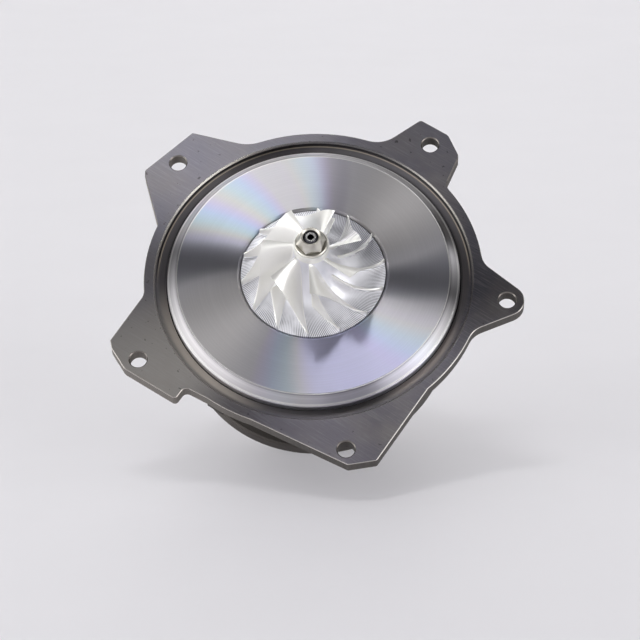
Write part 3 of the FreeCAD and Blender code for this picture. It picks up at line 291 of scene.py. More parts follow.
@dataclass(frozen=True)
class TurnedFace:
    """Aluminium faced on a lathe with a sharp tool: a mirror whose rings fan light out along the radius."""

    name: str = "face_turned_aluminium"
    bare: str = "c6c4ca"
    worn: str = "a9a6a8"
    groove: str = "77767c"
    bevel: str = "c4c1c3"
    ring_spacing: float = 0.35
    roughness: float = 0.28
    bevel_start: float = 52.4
    fan_start: float = 0.0407
    fan_twist: float = -0.97
    # Painted highlights on the lip at the face's edge and on the outer chamfer of the bevel, and a painted shadow
    # line where the bevel begins.
    painted_edge_lines: tuple[tuple[float, float, float, str], ...] = (
        (0.8, 52.30, 52.68, "fbfaf8"), (0.45, 52.80, 53.20, "55535a"), (0.85, 55.52, 56.05, "fbfaf8"))
    # Painted reflection round the axis: light and tinted sectors, with dark wedges at both sides (centre, reach in
    # degrees, share, sRGB hex).
    painted_shading: tuple[tuple[float, float, float, str], ...] = (
        (40, 30, 0.6, "ccc8c6"), (210, 30, 0.6, "ccc8c6"), (290, 45, 0.9, "bcbcde"), (155, 20, 0.6, "bcbcd4"),
        (78, 10, 0.6, "a8a4b4"), (171, 13, 0.9, "90909a"), (355, 16, 0.9, "90909a"))
    # Painted rainbow sheen of the turned rings, as fans (centre, reach in degrees, strength).
    fans: tuple[tuple[float, float, float], ...] = (
        (92, 14, 0.5), (126, 13, 0.8), (147, 13, 0.9), (254, 16, 0.6), (318, 18, 0.6))
    spectrum: tuple[tuple[float, str], ...] = (
        (0.10, "c0b2e2"), (0.35, "b2c4e0"), (0.55, "b6cbd4"), (0.75, "c8c8c4"), (0.95, "c6bcd0"))

    def material(self) -> bpy.types.Material:
        """Procedural material of the turned plate; its reflection is painted by angle as sectors of light and shade
        and as rainbow fans, which twist by turns per metre of radius.
        """
        material, shader, place = new_material(self.name)
        tree = material.node_tree
        twist = place.math("MULTIPLY_ADD", place.radius, self.fan_twist, self.fan_start)
        around = place.math("MULTIPLY_ADD", twist, 2 * math.pi, place.angle)
        # Painted reflection: sectors of light and shade, then rainbow fans, round the axis.
        painted_reflection = place.sectors(linear(self.bare), self.painted_shading, around)
        for centre, reach, strength in self.fans:
            share = place.times(place.sector(centre, reach, around), strength)
            painted_reflection = place.mix(share, painted_reflection, self.spread(place, around, centre, reach))
        outside = place.edge(place.radius, self.bevel_start, 0.4)
        painted_reflection = place.mix(place.times(outside, 0.7), painted_reflection, linear(self.bevel))
        # Painted highlight and shadow lines on the bevel's edges.
        for share, low, high, shade in self.painted_edge_lines:
            painted_reflection = place.mix(place.times(place.band(place.radius, low, high), share), painted_reflection, linear(shade))
        rings = place.rings(self.ring_spacing, 2.0)
        broad = place.rings(3.2, 3.0)
        smear = place.noise(14.0, 4.0)
        colour = place.mix(place.times(smear, 0.16), painted_reflection, linear(self.worn))
        lines = place.step(place.rings(0.9, 4.0), 0.25, 0.75)
        depth = place.math("MULTIPLY_ADD", outside, 0.12, 0.09)
        colour = place.mix(place.times(lines, depth), colour, linear(self.groove))
        rough = place.blend(broad, self.roughness - 0.03, self.roughness + 0.05)
        feed(tree, shader, Base_Color=colour, Metallic=1.0, Roughness=rough, Anisotropic=1.0,
             Tangent=place.radial_tangent(), Normal=place.bump(rings, 0.0006))
        return material

    def spread(self, place: Field, around: Socket, centre: float, reach: float) -> Socket:
        """Painted rainbow sheen: pale spectrum of a fine grating, from violet to rose across a fan."""
        off = place.math("SINE", place.math("SUBTRACT", around, math.radians(centre)))
        return place.ramp(place.math("MULTIPLY_ADD", off, 0.5 / math.sin(math.radians(reach)), 0.5), self.spectrum)


@dataclass(frozen=True)
class MilledWheel:
    """Forged aluminium milled on five axes: bright, with the cutter's lines along each passage.

    The lines stand 0.7 mm apart at the rim, about twice as far as real ones, so that they show.
    """

    name: str = "five_axis_milled_aluminium"
    bare: str = "faf9f5"
    floor_tint: str = "f2f2f8"
    line_shade: str = "52525c"
    shaded_floor: str = "8e8e98"
    lines: int = 240
    pass_width: float = 1.7
    wrap: float = 50.0
    wrap_power: float = 0.44
    inner: float = 6.8
    outer: float = 27.8
    floor_start: float = 21.2
    floor_drop: float = 18.55

    def material(self) -> bpy.types.Material:
        """Procedural material of the compressor wheel."""
        material, shader, place = new_material(self.name)
        inward = place.invert(place.math("DIVIDE", place.math("SUBTRACT", place.radius, mm(self.inner)),
                                         mm(self.outer - self.inner)))
        above = place.math("SUBTRACT", place.z, self.hub_height(place, inward))
        on_floor = place.invert(place.past(above, 0.15, 0.4))
        corner = place.times(place.past(place.x, 1.0, 7.0), place.past(place.y, 1.0, 9.0))
        patches = place.step(place.noise(7.0, 2.0), 0.25, 0.60)
        lined = place.times(place.past(place.radius, 15.0, 25.0), on_floor, patches)
        lined = place.math("MAXIMUM", lined, place.times(corner, on_floor))
        groove = place.times(place.step(self.cutter_lines(place, inward), 0.25, 0.85), lined)
        colour = place.mix(on_floor, linear(self.bare), linear(self.floor_tint))
        shaded = place.times(corner, on_floor, place.past(place.radius, 16.0, 21.0))
        colour = place.mix(place.times(shaded, 0.6), colour, linear(self.shaded_floor))
        passes = place.math("SINE", place.times(above, 2000 * math.pi / self.pass_width))
        beside = place.times(corner, place.past(place.x, 6.0, 10.0))
        flank = place.times(beside, place.step(passes, 0.1, 0.8), place.invert(on_floor))
        groove = place.math("MAXIMUM", groove, place.times(flank, 0.5))
        colour = place.mix(place.times(groove, 0.76), colour, linear(self.line_shade))
        rough = place.blend(place.noise(3.0, 3.0), 0.28, 0.34)
        # Painted light: the outer hub floor on the lower side is made less metallic so that it shows lighter.
        painted_lit_floor = place.times(on_floor, place.past(place.radius, 13.0, 22.0), place.past(place.y, 10.0, -4.0))
        feed(material.node_tree, shader, Base_Color=colour, Metallic=place.blend(painted_lit_floor, 0.60, 0.12), Roughness=rough)
        return material

    def hub_height(self, place: Field, inward: Socket) -> Socket:
        """Height of the hub, whose section is a quarter ellipse, at a share of the way in from the rim."""
        quarter_sine = place.math("SQRT", place.invert(place.times(inward, inward)))
        return place.math("MULTIPLY_ADD", quarter_sine, mm(-self.floor_drop), mm(self.floor_start))

    def cutter_lines(self, place: Field, inward: Socket) -> Socket:
        """Waves from 0 to 1 across the passages, wrapped as the blades are."""
        share = place.times(place.math("ARCCOSINE", inward), 2 / math.pi)
        turn = place.times(place.math("POWER", share, self.wrap_power), math.radians(self.wrap))
        lane = place.times(place.math("SUBTRACT", place.angle, turn), float(self.lines))
        return place.math("MULTIPLY_ADD", place.math("SINE", lane), 0.5, 0.5)


@dataclass(frozen=True)
class MachinedCasting:
    """Grey iron casting: sand-cast skin below, milled dark satin face, turned bores."""

    name: str = "machined_grey_iron"
    face: str = "b4b3b6"
    face_blue: str = "505056"
    face_brown: str = "8c8680"
    skin: str = "56534f"
    skin_dark: str = "3b3835"
    skin_crest: str = "7d7a76"
    pit: str = "2e2b29"
    rim: str = "5f5b58"
    wall: str = "7d7873"
    # Painted shade: the flange's side is darker towards the right.
    wall_shaded_right: str = "4a4745"
    wall_streak: str = "99948e"
    # Broken edges: bare metal with painted highlights, lighter on the right (edge) than the left (edge_left), and
    # grey above and on the other edges (hole).
    edge: str = "bcb8b4"
    edge_left: str = "a8a39e"
    hole: str = "77726e"
    ring: str = "a8a29c"
    # Near black painted shadow in the gap between the plate and the bore.
    gap: str = "1e1c1b"
    face_base: str = "5a5860"
    # Painted light and shade of the milled face in sectors round the axis (centre, reach in degrees, share, sRGB
    # hex).
    face_painted_shading: tuple[tuple[float, float, float, str], ...] = (
        (130, 120, 1.0, "7c7a84"), (212, 30, 0.8, "a4a09c"), (268, 24, 0.5, "807c86"), (352, 24, 0.8, "4a4850"))
    bore_base: str = "58565a"
    # Painted light and shade of the groove in sectors round the axis.
    bore_painted_shading: tuple[tuple[float, float, float, str], ...] = (
        (50, 40, 0.8, "76747a"), (108, 22, 0.9, "38363c"), (217, 38, 1.0, "b4aca4"), (318, 26, 0.9, "847c78"),
        (288, 14, 0.6, "464444"), (354, 22, 0.6, "484448"))
    lip_base: str = "b0aca6"
    # Painted light and shade of the mouth's chamfer in sectors round the axis.
    lip_painted_shading: tuple[tuple[float, float, float, str], ...] = (
        (78, 42, 1.0, "686668"), (278, 50, 0.8, "8a8684"), (355, 28, 0.8, "8a8684"))
    # Painted shadow line and golden painted highlight line on the cover's ledge, upper side only.
    ledge_painted_lines: tuple[tuple[float, float, float, str], ...] = (
        (0.55, 60.4, 61.2, "221f1e"), (0.6, 59.95, 60.4, "e2d3c0"))
    face_start: float = 61.7
    bore_wall: float = 61.06
    outer_wall: float = 61.15
    flange_back: float = -5.0
    turbine_flange: float = -43.35
    pilot: float = 38.0

    def material(self) -> bpy.types.Material:
        """Procedural material of the bearing housing."""
        material, shader, place = new_material(self.name)
        tree = material.node_tree
        past_mouth = place.edge(place.radius, self.face_start, 0.05)
        on_face = place.times(place.past(place.z, -0.16, -0.08), past_mouth)
        mouth = place.times(place.past(place.z, -0.62, -0.55), place.invert(past_mouth))
        in_bore = place.invert(place.edge(place.radius, self.bore_wall, 0.04))
        above = place.edge(place.z, self.flange_back, 0.03)
        flange_rim = place.times(place.invert(place.edge(place.z, self.turbine_flange, 0.05)),
                                 place.edge(place.radius, self.pilot, 1.0))
        turned = place.math("MAXIMUM", place.times(in_bore, above), flange_rim)
        turned = place.math("MAXIMUM", turned, mouth)
        lengthwise = add(tree, "ShaderNodeMapping", {"Vector": place.place, "Scale": (0.25, 6.0, 1.0),
                                                      "Rotation": (0.0, 0.0, math.radians(55))},
                         vector_type="TEXTURE").outputs[0]
        lines = place.noise(2.0, 5.0, lengthwise, 0.7)
        lumps = place.noise(1.5, 7.0, None, 0.62)
        rings = place.rings(0.45, 3.0)
        upper = place.past(place.y, -10.0, 14.0)
        face = self.face_colour(place, lines)
        bore = self.bore_colour(place, rings, upper, face)
        bore = place.mix(mouth, bore, self.lip_colour(place, upper, face))
        bore = place.mix(flange_rim, bore, linear(self.rim))
        flange_wall = place.times(above, place.edge(place.radius, self.outer_wall, 0.05))
        outer = place.mix(flange_wall, self.skin_colour(place, lumps), self.wall_colour(place))
        colour = place.mix(on_face, place.mix(turned, outer, bore), face)
        edge, edge_colour = self.broken_edge(place, turned)
        colour = place.mix(edge, colour, edge_colour)
        machined = place.math("MAXIMUM", place.math("MAXIMUM", on_face, turned), edge)
        rough = place.blend(turned, place.blend(machined, 0.62, 0.32), 0.44)
        rough = place.math("MULTIPLY_ADD", lines, 0.08, rough)
        rough = place.blend(place.math("MAXIMUM", edge, mouth), rough, 0.25)
        rugged = place.bump(lumps, 0.16)
        fine = place.bump(place.blend(turned, lines, rings), 0.006)
        normal = add(tree, "ShaderNodeMix", {0: machined, 4: rugged, 5: fine}, data_type="VECTOR").outputs[1]
        feed(tree, shader, Base_Color=colour, Metallic=place.blend(machined, 0.55, 0.92), Roughness=rough,
             Normal=normal, Anisotropic=place.times(place.math("MAXIMUM", on_face, turned), 0.95),
             Tangent=place.radial_tangent())
        return material

    def face_colour(self, place: Field, lines: Socket) -> Socket:
        """Milled face: painted light and shade in sectors round the axis, with brown patches, pits and cutter lines.
        """
        face = place.sectors(linear(self.face_base), self.face_painted_shading)
        patches = place.step(place.noise(26.0, 5.0), 0.35, 0.75)
        face = place.mix(place.times(patches, 0.35), face, linear(self.face_brown))
        pits = place.invert(place.step(place.noise(2.6, 2.0), 0.27, 0.33))
        face = place.mix(place.times(pits, 0.6), face, linear(self.pit))
        face = place.mix(place.times(place.step(lines, 0.45, 0.75), 0.2), face, linear(self.face))
        return place.mix(place.times(place.step(lines, 0.42, 0.22), 0.22), face, linear(self.face_blue))

    def bore_colour(self, place: Field, rings: Socket, upper: Socket, face: Socket) -> Socket:
        """Turned groove round the plate: painted light and shade in sectors round the axis, a painted shadow in the
        gap beside the plate that is deepest on the upper side, and a painted shadow line and a golden painted
        highlight line on the cover's ledge on its upper side.
        """
        bore = place.sectors(linear(self.bore_base), self.bore_painted_shading)
        bore = place.mix(place.times(rings, 0.18), bore, linear(self.ring))
        # Painted shadow in the gap beside the plate, deeper on the upper side.
        inner_line = place.invert(place.past(place.radius, 57.0, 58.3))
        darkness = place.math("MULTIPLY_ADD", upper, 0.6, 0.05)
        bore = place.mix(place.times(inner_line, darkness), bore, linear(self.gap))
        for share, low, high, shade in self.ledge_painted_lines:
            line = place.times(place.band(place.radius, low, high), upper, share)
            bore = place.mix(line, bore, linear(shade))
        outer_ledge = place.times(place.past(place.radius, 58.9, 60.2), place.invert(upper))
        return place.mix(place.times(outer_ledge, 0.85), bore, face)

    def lip_colour(self, place: Field, upper: Socket, face: Socket) -> Socket:
        """Chamfer at the mouth of the bore, with painted light and shade in sectors round the axis, which fades into
        the face on its lower side.
        """
        lip = place.sectors(linear(self.lip_base), self.lip_painted_shading)
        return place.mix(place.times(place.invert(upper), 0.7), lip, face)

    def skin_colour(self, place: Field, lumps: Socket) -> Socket:
        """Sand-cast skin, paler on the crests of its lumps."""
        skin = place.mix(place.step(place.noise(11.0, 5.0), 0.35, 0.68), linear(self.skin), linear(self.skin_dark))
        return place.mix(place.step(lumps, 0.60, 0.85), skin, linear(self.skin_crest))

    def wall_colour(self, place: Field) -> Socket:
        """Side of the flange, with streaks from its front to its back and painted shade that darkens it towards the
        right.
        """
        upright = add(place.tree, "ShaderNodeMapping", {"Vector": place.place, "Scale": (1.0, 1.0, 0.12)}).outputs[0]
        wall = place.mix(place.past(place.x, -52.0, 0.0), linear(self.wall), linear(self.wall_shaded_right))
        return place.mix(place.times(place.noise(0.8, 5.0, upright), 0.3), wall, linear(self.wall_streak))

    def broken_edge(self, place: Field, turned: Socket) -> tuple[Socket, Socket]:
        """Edges that a deburring tool broke, as bare metal with a painted highlight: bright on the outline's lower
        side and lighter to the right, darker grey above and on the other edges.

        Args:
            place: the material's field of places.
            turned: share of turned surface, which is left out.

        Returns:
            The share of broken edge and its colour.
        """
        facing = add(place.tree, "ShaderNodeNewGeometry").outputs["True Normal"]
        upward = add(place.tree, "ShaderNodeSeparateXYZ", {0: facing}).outputs[2]
        share = place.times(place.step(upward, 0.1, 0.3), place.invert(place.step(upward, 0.95, 0.985)),
                            place.past(place.z, -0.62, -0.5), place.invert(turned))
        outline = add(place.tree, "ShaderNodeAttribute", attribute_name="worn_edge_and_glint").outputs["Fac"]
        near = place.mix(place.past(place.x, -30.0, 25.0), linear(self.edge_left), linear(self.edge))
        near = place.mix(place.past(place.y, 14.0, -22.0), linear(self.hole), near)
        return share, place.mix(outline, linear(self.hole), near)


@dataclass(frozen=True)
class SealRubber:
    """Moulded black fluoro rubber with a dull skin."""

    name: str = "black_seal_rubber"

    def material(self) -> bpy.types.Material:
        """Procedural material of the O-ring."""
        material, shader, place = new_material(self.name)
        grain = place.noise(0.25, 4.0)
        colour = place.mix(grain, linear("141414"), linear("242322"))
        feed(material.node_tree, shader, Base_Color=colour, Roughness=place.blend(grain, 0.5, 0.7),
             Normal=place.bump(grain, 0.01))
        return material


@dataclass(frozen=True)
class GroundShaft:
    """Ground alloy steel shaft; its threaded end is painted with shade and highlight: a dark shade ring, a bright
    highlight ring and a black shadow in the centre hole.
    """

    name: str = "ground_shaft_steel"
    ground: str = "a9a9ab"
    # Painted shade ring and painted highlight ring on the threaded end.
    shaded_end_ring: str = "56565c"
    ring: str = "cdccca"
    worn: str = "8e8e92"
    end_start: float = 25.3
    end_radius: float = 3.2

    def material(self) -> bpy.types.Material:
        """Procedural material of the shaft."""
        material, shader, place = new_material(self.name)
        lathe_marks = place.rings(0.3)
        colour = place.mix(place.step(place.noise(9.0, 5.0), 0.35, 0.72), linear(self.ground), linear(self.worn))
        # Painted end: black shadow in the centre hole, a bright highlight ring and a dark shade ring outside it.
        end = place.ramp(place.times(place.radius, 1 / mm(self.end_radius)), [
            (0.32, "0c0c0e"), (0.38, "1c1c20"), (0.43, self.ring), (0.57, self.ring), (0.65, self.shaded_end_ring),
            (0.88, self.shaded_end_ring), (0.96, "76767a"),
        ])
        colour = place.mix(place.edge(place.z, self.end_start), colour, end)
        feed(material.node_tree, shader, Base_Color=colour, Metallic=1.0, Anisotropic=0.6,
             Roughness=place.blend(lathe_marks, 0.15, 0.30), Tangent=place.radial_tangent(),
             Normal=place.bump(lathe_marks, 0.002))
        return material


# The nut is darker in a band where its cone meets the collar.
NUT_STEEL = Metal("turned_nut_steel", "e6e3da", "cbc7bb", 0.30, Marks.TURNED, 0.5, 0.002,
                  (25.75, 26.15))
SLEEVE_STEEL = Metal("ground_sleeve_steel", "b0b0b2", "98989c", 0.25, Marks.GROUND, 0.3, 0.002)
SPRING_STEEL = Metal("phosphated_spring_steel", "55565a", "3e3f42", 0.42, Marks.CAST, 0.4, 0.006)
BRONZE = Metal("turned_bearing_bronze", "c39a5b", "a8814a", 0.28, Marks.TURNED, 0.35, 0.004)
SHIELD_SHEET = Metal("drawn_stainless_sheet", "a39e95", "8b857b", 0.34, Marks.PRESSED, 2.5, 0.02)
TURBINE_ALLOY = Metal("investment_cast_nickel_alloy", "77736c", "5d5a55", 0.48, Marks.CAST, 0.7, 0.05)
BLACK_SCREW = Metal("black_oxide_screw_steel", "2b2b2e", "3a3a3d", 0.38, Marks.CAST, 0.5, 0.004)


def link(name: str, data: bpy.types.ID) -> bpy.types.Object:
    """New object of the scene that shows the data."""
    made = bpy.data.objects.new(name, data)
    bpy.context.scene.collection.objects.link(made)
    return made


def join(mesh: bmesh.types.BMesh, shell: bmesh.types.BMesh) -> None:
    """Adds a shell to a mesh and frees the shell."""
    data = bpy.data.meshes.new("shell")
    shell.to_mesh(data)
    shell.free()
    mesh.from_mesh(data)
    bpy.data.meshes.remove(data)


def sharper(mesh: bmesh.types.BMesh, degrees: float) -> list[bmesh.types.BMEdge]:
    """Edges whose faces meet at more than an angle."""
    return [edge for edge in mesh.edges
            if len(edge.link_faces) == 2 and edge.calc_face_angle(0.0) > math.radians(degrees)]


def break_edges(mesh: bmesh.types.BMesh, edges: Sequence[bmesh.types.BMEdge], width: float, segments: int = 2,
                clamp: bool = True) -> list[bmesh.types.BMFace]:
    """Bevels edges by a width in millimetres and gives the new faces."""
    return bmesh.ops.bevel(mesh, geom=edges, offset=mm(width), segments=segments, profile=0.5, affect="EDGES",
                           material=-1, clamp_overlap=clamp)["faces"]


def place_piece(mesh: bmesh.types.BMesh, name: str, body: str, finish: object, nodes: Sequence[str] = (),
                smooth_below: float = 32.0) -> bpy.types.Object:
    """Turns a bmesh into a piece of the object.

    Args:
        mesh: the shape, in metres in the row frame; it is freed here.
        name: the piece's name.
        body: the CAD body it rides on.
        finish: an object with a material() method.
        nodes: CAD nodes it stands for.
        smooth_below: edges under this many degrees are shaded smooth.

    Returns:
        The new object.
    """
    for edge in mesh.edges:
        edge.smooth = len(edge.link_faces) == 2 and edge.calc_face_angle(0.0) < math.radians(smooth_below)
    for face in mesh.faces:
        face.smooth = True
    data = bpy.data.meshes.new(name)
    mesh.to_mesh(data)
    mesh.free()
    piece = link(name, data)
    flat = piece.modifiers.new("flat_faces", "WEIGHTED_NORMAL")
    flat.mode = "FACE_AREA"
    flat.weight = 90
    flat.keep_sharp = True
    piece.data.materials.append(finish.material())
    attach(piece, body)
    if nodes:
        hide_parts(*nodes)
    LOG.info("%s: %d faces on %s", name, len(data.polygons), body)
    return piece


def lathe(mesh: bmesh.types.BMesh, profile: Profile, steps: int) -> None:
    """Spins a closed half section about the rotor axis.

    Args:
        mesh: where the surface goes.
        profile: (radius, height) points in millimetres.
        steps: facets round the axis.
    """
    points = [mesh.verts.new((mm(radius), 0.0, mm(height))) for radius, height in profile]
    edges = [mesh.edges.new(pair) for pair in zip(points, points[1:] + points[:1])]
    bmesh.ops.spin(mesh, geom=points + edges, cent=(0, 0, 0), axis=(0, 0, 1), dvec=(0, 0, 0),
                   angle=2 * math.pi, steps=steps, use_merge=True, use_normal_flip=False, use_duplicate=False)
    bmesh.ops.remove_doubles(mesh, verts=mesh.verts[:], dist=mm(0.002))
    bmesh.ops.recalc_face_normals(mesh, faces=mesh.faces[:])


@dataclass
class TurnedPiece:
    """Piece that a lathe gives its whole shape."""

    name: str
    body: str
    nodes: tuple[str, ...]
    profile: Profile
    finish: object
    steps: int = 288

    def build(self) -> bpy.types.Object:
        """Spins the section into a closed surface and dresses it."""
        mesh = bmesh.new()
        lathe(mesh, self.profile, self.steps)
        return place_piece(mesh, self.name, self.body, self.finish, self.nodes)


def quarter(start: tuple[float, float], end: tuple[float, float], share: float,
            axial_first: bool = True) -> tuple[float, float]:
    """Point on a quarter ellipse between two (radius, height) points.

    Args:
        start: where the curve begins.
        end: where it ends.
        share: 0 at start, 1 at end.
        axial_first: whether it leaves along the axis and arrives along the radius.

    Returns:
        Radius and height in millimetres.
    """
    sweep = share * math.pi / 2
    soft, quick = 1 - math.cos(sweep), math.sin(sweep)
    along_radius, along_height = (soft, quick) if axial_first else (quick, soft)
    return start[0] + (end[0] - start[0]) * along_radius, start[1] + (end[1] - start[1]) * along_height


def turned_point(radius: float, height: float, angle: float) -> Vector:
    """Point in metres at a radius and height in millimetres and an angle in degrees."""
    return Vector((mm(radius) * math.cos(math.radians(angle)), mm(radius) * math.sin(math.radians(angle)),
                   mm(height)))


@dataclass
class BladedWheel:
    """Wheel with a turned hub and blades of straight rulings between a root curve and a tip curve."""

    name: str
    node: str
    finish: object
    hub_profile: Profile
    root: tuple[tuple[float, float], tuple[float, float]]
    tip: tuple[tuple[float, float], tuple[float, float]]
    axial_first: bool
    outside: float
    turn_root: Callable[[float], float]
    turn_tip: Callable[[float], float]
    blades: Sequence[tuple[float, float]]
    root_thickness: float
    tip_thickness: float
    fillet: float
    columns: int = 56
    rows: int = 16
    hub_steps: int = 320
    tip_break: float = 0.09

    def build(self) -> bpy.types.Object:
        """Joins the hub and every blade into one piece."""
        mesh = bmesh.new()
        lathe(mesh, self.hub_profile, self.hub_steps)
        for angle, first in self.blades:
            join(mesh, self.blade(angle, first))
        return place_piece(mesh, self.name, "rotor", self.finish, (self.node,), 40.0)

    def middle(self, angle: float, share: float, height: float) -> Vector:
        """Point of a blade's middle surface.

        Args:
            angle: the blade's own angle in degrees.
            share: 0 at the leading end of a full blade, 1 at its end.
            height: 0 on the hub, 1 at the tip; a little below 0 is inside the hub.

        Returns:
            The point in metres.
        """
        low = turned_point(*quarter(*self.root, share, self.axial_first), angle + self.turn_root(share))
        high = turned_point(*quarter(*self.tip, share, self.axial_first), angle + self.turn_tip(share))
        return low.lerp(high, height)

    def thickness(self, span: float, height: float, share: float, first: float) -> float:
        """Thickness of a blade in millimetres, thin at the tip, filleted at the root and rounded at its front.

        Args:
            span: millimetres from hub to tip here.
            height: 0 on the hub, 1 at the tip.
            share: share of a full blade's length.
            first: share where this blade starts.

        Returns:
            Millimetres from side to side.
        """
        plain = self.root_thickness + (self.tip_thickness - self.root_thickness) * max(height, 0.0)
        above = max(height, 0.0) * span
        fillet = 2.2 * self.fillet * math.exp(-above / (0.45 * self.fillet))
        front = min(1.0, math.sqrt((share - first + 0.004) / 0.05))
        return (plain + fillet) * max(front, 0.25)

    def blade(self, angle: float, first: float) -> bmesh.types.BMesh:
        """One blade as a closed shell.

        Args:
            angle: the blade's own angle in degrees.
            first: share of a full blade's length where it starts.

        Returns:
            The shell, in metres.
        """
        mesh = bmesh.new()
        bmesh.ops.create_grid(mesh, x_segments=self.columns, y_segments=self.rows, size=0.5)
        raised = bmesh.ops.extrude_face_region(mesh, geom=mesh.faces[:], use_keep_orig=True)
        upper = {item for item in raised["geom"] if isinstance(item, bmesh.types.BMVert)}
        step = 1e-3
        for vertex in mesh.verts:
            along = (vertex.co.x + 0.5) ** 1.5
            height = (vertex.co.y + 0.5) ** 1.7 * 1.03 - 0.03
            share = first + (1.0 - first) * along
            point = self.middle(angle, share, height)
            ahead = self.middle(angle, min(share + step, 1.0), height)
            behind = self.middle(angle, max(share - step, 0.0), height)
            rise = self.middle(angle, share, 1.0) - self.middle(angle, share, 0.0)
            normal = (ahead - behind).cross(rise).normalized()
            half = mm(self.thickness(rise.length * 1000, height, share, first)) / 2
            vertex.co = point + normal * (half if vertex in upper else -half)
            flat = math.hypot(vertex.co.x, vertex.co.y)
            if flat > mm(self.outside):
                vertex.co.x *= mm(self.outside) / flat
                vertex.co.y *= mm(self.outside) / flat
        bmesh.ops.recalc_face_normals(mesh, faces=mesh.faces[:])
        break_edges(mesh, sharper(mesh, 50), self.tip_break)
        return mesh


@dataclass
class CompressorWheel:
    """Milled compressor wheel with seven full blades and seven splitters."""

    full_blades: int = 7
    exit_angle: float = -42.0
    wrap: float = 50.0
    lean: float = 6.0
    splitter_start: float = 0.33
    early: float = 0.015
    power: float = 0.44

    def progress(self, share: float) -> float:
        """Share of the turn: quick at the inlet, then steady."""
        low = self.early ** self.power
        return ((share + self.early) ** self.power - low) / ((1 + self.early) ** self.power - low)

    def build(self) -> bpy.types.Object:
        """Builds the hub and the fourteen blades."""
        root, tip = ((6.8, 21.2), (27.8, 2.65)), ((19.2, 20.6), (27.8, 5.1))
        pitch = 360.0 / self.full_blades
        blades = []
        for index in range(self.full_blades):
            blades.append((self.exit_angle + pitch * index, 0.0))
            blades.append((self.exit_angle + pitch * (index + 0.5), self.splitter_start))
        hub = [quarter(*root, index / 40) for index in range(41)]
        hub += [(27.75, 1.5), (27.7, 1.45), (12.0, 1.45), (9.0, -0.8), (3.02, -0.8), (3.02, 25.0), (6.3, 25.0),
                (6.65, 24.85), (6.8, 24.5)]
        wheel = BladedWheel(
            "compressor_wheel_milled", "compressor_wheel", MilledWheel(), hub, root, tip, True, 27.8,
            lambda share: (self.progress(share) - 1.0) * (self.wrap + self.lean),
            lambda share: (self.progress(share) - 1.0) * self.wrap,
            blades, 0.95, 0.45, 0.4)
        return wheel.build()


@dataclass
class TurbineWheel:
    """Cast turbine wheel with eleven blades and a hexagonal nose."""

    blade_count: int = 11
    wrap: float = 46.0
    nose_start: float = -83.3
    nose_end: float = -88.5
    nose_flats: float = 9.0
    nose_hole_depth: float = 1.6

    def build(self) -> bpy.types.Object:
        """Builds the hub, the blades and the nose."""
        root, tip = ((25.0, -59.6), (6.6, -80.0)), ((25.0, -65.6), (21.4, -80.0))
        disc_share = math.asin((25.0 - 21.8) / (25.0 - 6.6)) * 2 / math.pi
        hub = [quarter(*root, disc_share + (1 - disc_share) * index / 30, False) for index in range(31)]
        hub += [(6.6, -83.2), (6.3, -83.5), (0.0, -83.5), (0.0, -58.2), (9.0, -58.2), (21.3, -58.75),
                (21.7, -58.9)]
        wheel = BladedWheel(
            "turbine_wheel_cast", "turbine_wheel", TURBINE_ALLOY, hub, root, tip, False, 25.0,
            lambda share: self.wrap * 0.8 * share ** 2.2, lambda share: self.wrap * share ** 2.2,
            [(360.0 / self.blade_count * index, 0.0) for index in range(self.blade_count)],
            1.7, 0.8, 1.1, 44, 14)
        piece = wheel.build()
        self.nose()
        return piece

    def nose(self) -> bpy.types.Object:
        """Hexagonal nose that the wheel is held by while its shaft is ground."""
        mesh = bmesh.new()
        start = Matrix.Translation((0, 0, mm(self.nose_start))) @ Matrix.Rotation(math.pi / 6, 4, "Z")
        circle = bmesh.ops.create_circle(mesh, cap_ends=True, segments=6, matrix=start,
                                         radius=mm(self.nose_flats / 2) / math.cos(math.pi / 6))
        deep = bmesh.ops.extrude_face_region(mesh, geom=[circle["verts"][0].link_faces[0]])
        bmesh.ops.translate(mesh, verts=[item for item in deep["geom"] if isinstance(item, bmesh.types.BMVert)],
                            vec=(0, 0, mm(self.nose_end - self.nose_start)))
        bmesh.ops.recalc_face_normals(mesh, faces=mesh.faces[:])
        end = min(mesh.faces, key=lambda item: item.calc_center_median().z)
        bmesh.ops.inset_region(mesh, faces=[end], thickness=mm(2.2), depth=0.0, use_even_offset=True)
        centre = min(mesh.faces, key=lambda item: (round(item.calc_center_median().z, 6), item.calc_area()))
        bmesh.ops.inset_region(mesh, faces=[centre], thickness=mm(1.5), depth=mm(-self.nose_hole_depth),
                               use_even_offset=True)
        bmesh.ops.recalc_face_normals(mesh, faces=mesh.faces[:])
        break_edges(mesh, sharper(mesh, 40), 0.25)
        return place_piece(mesh, "turbine_nose", "rotor", TURBINE_ALLOY)


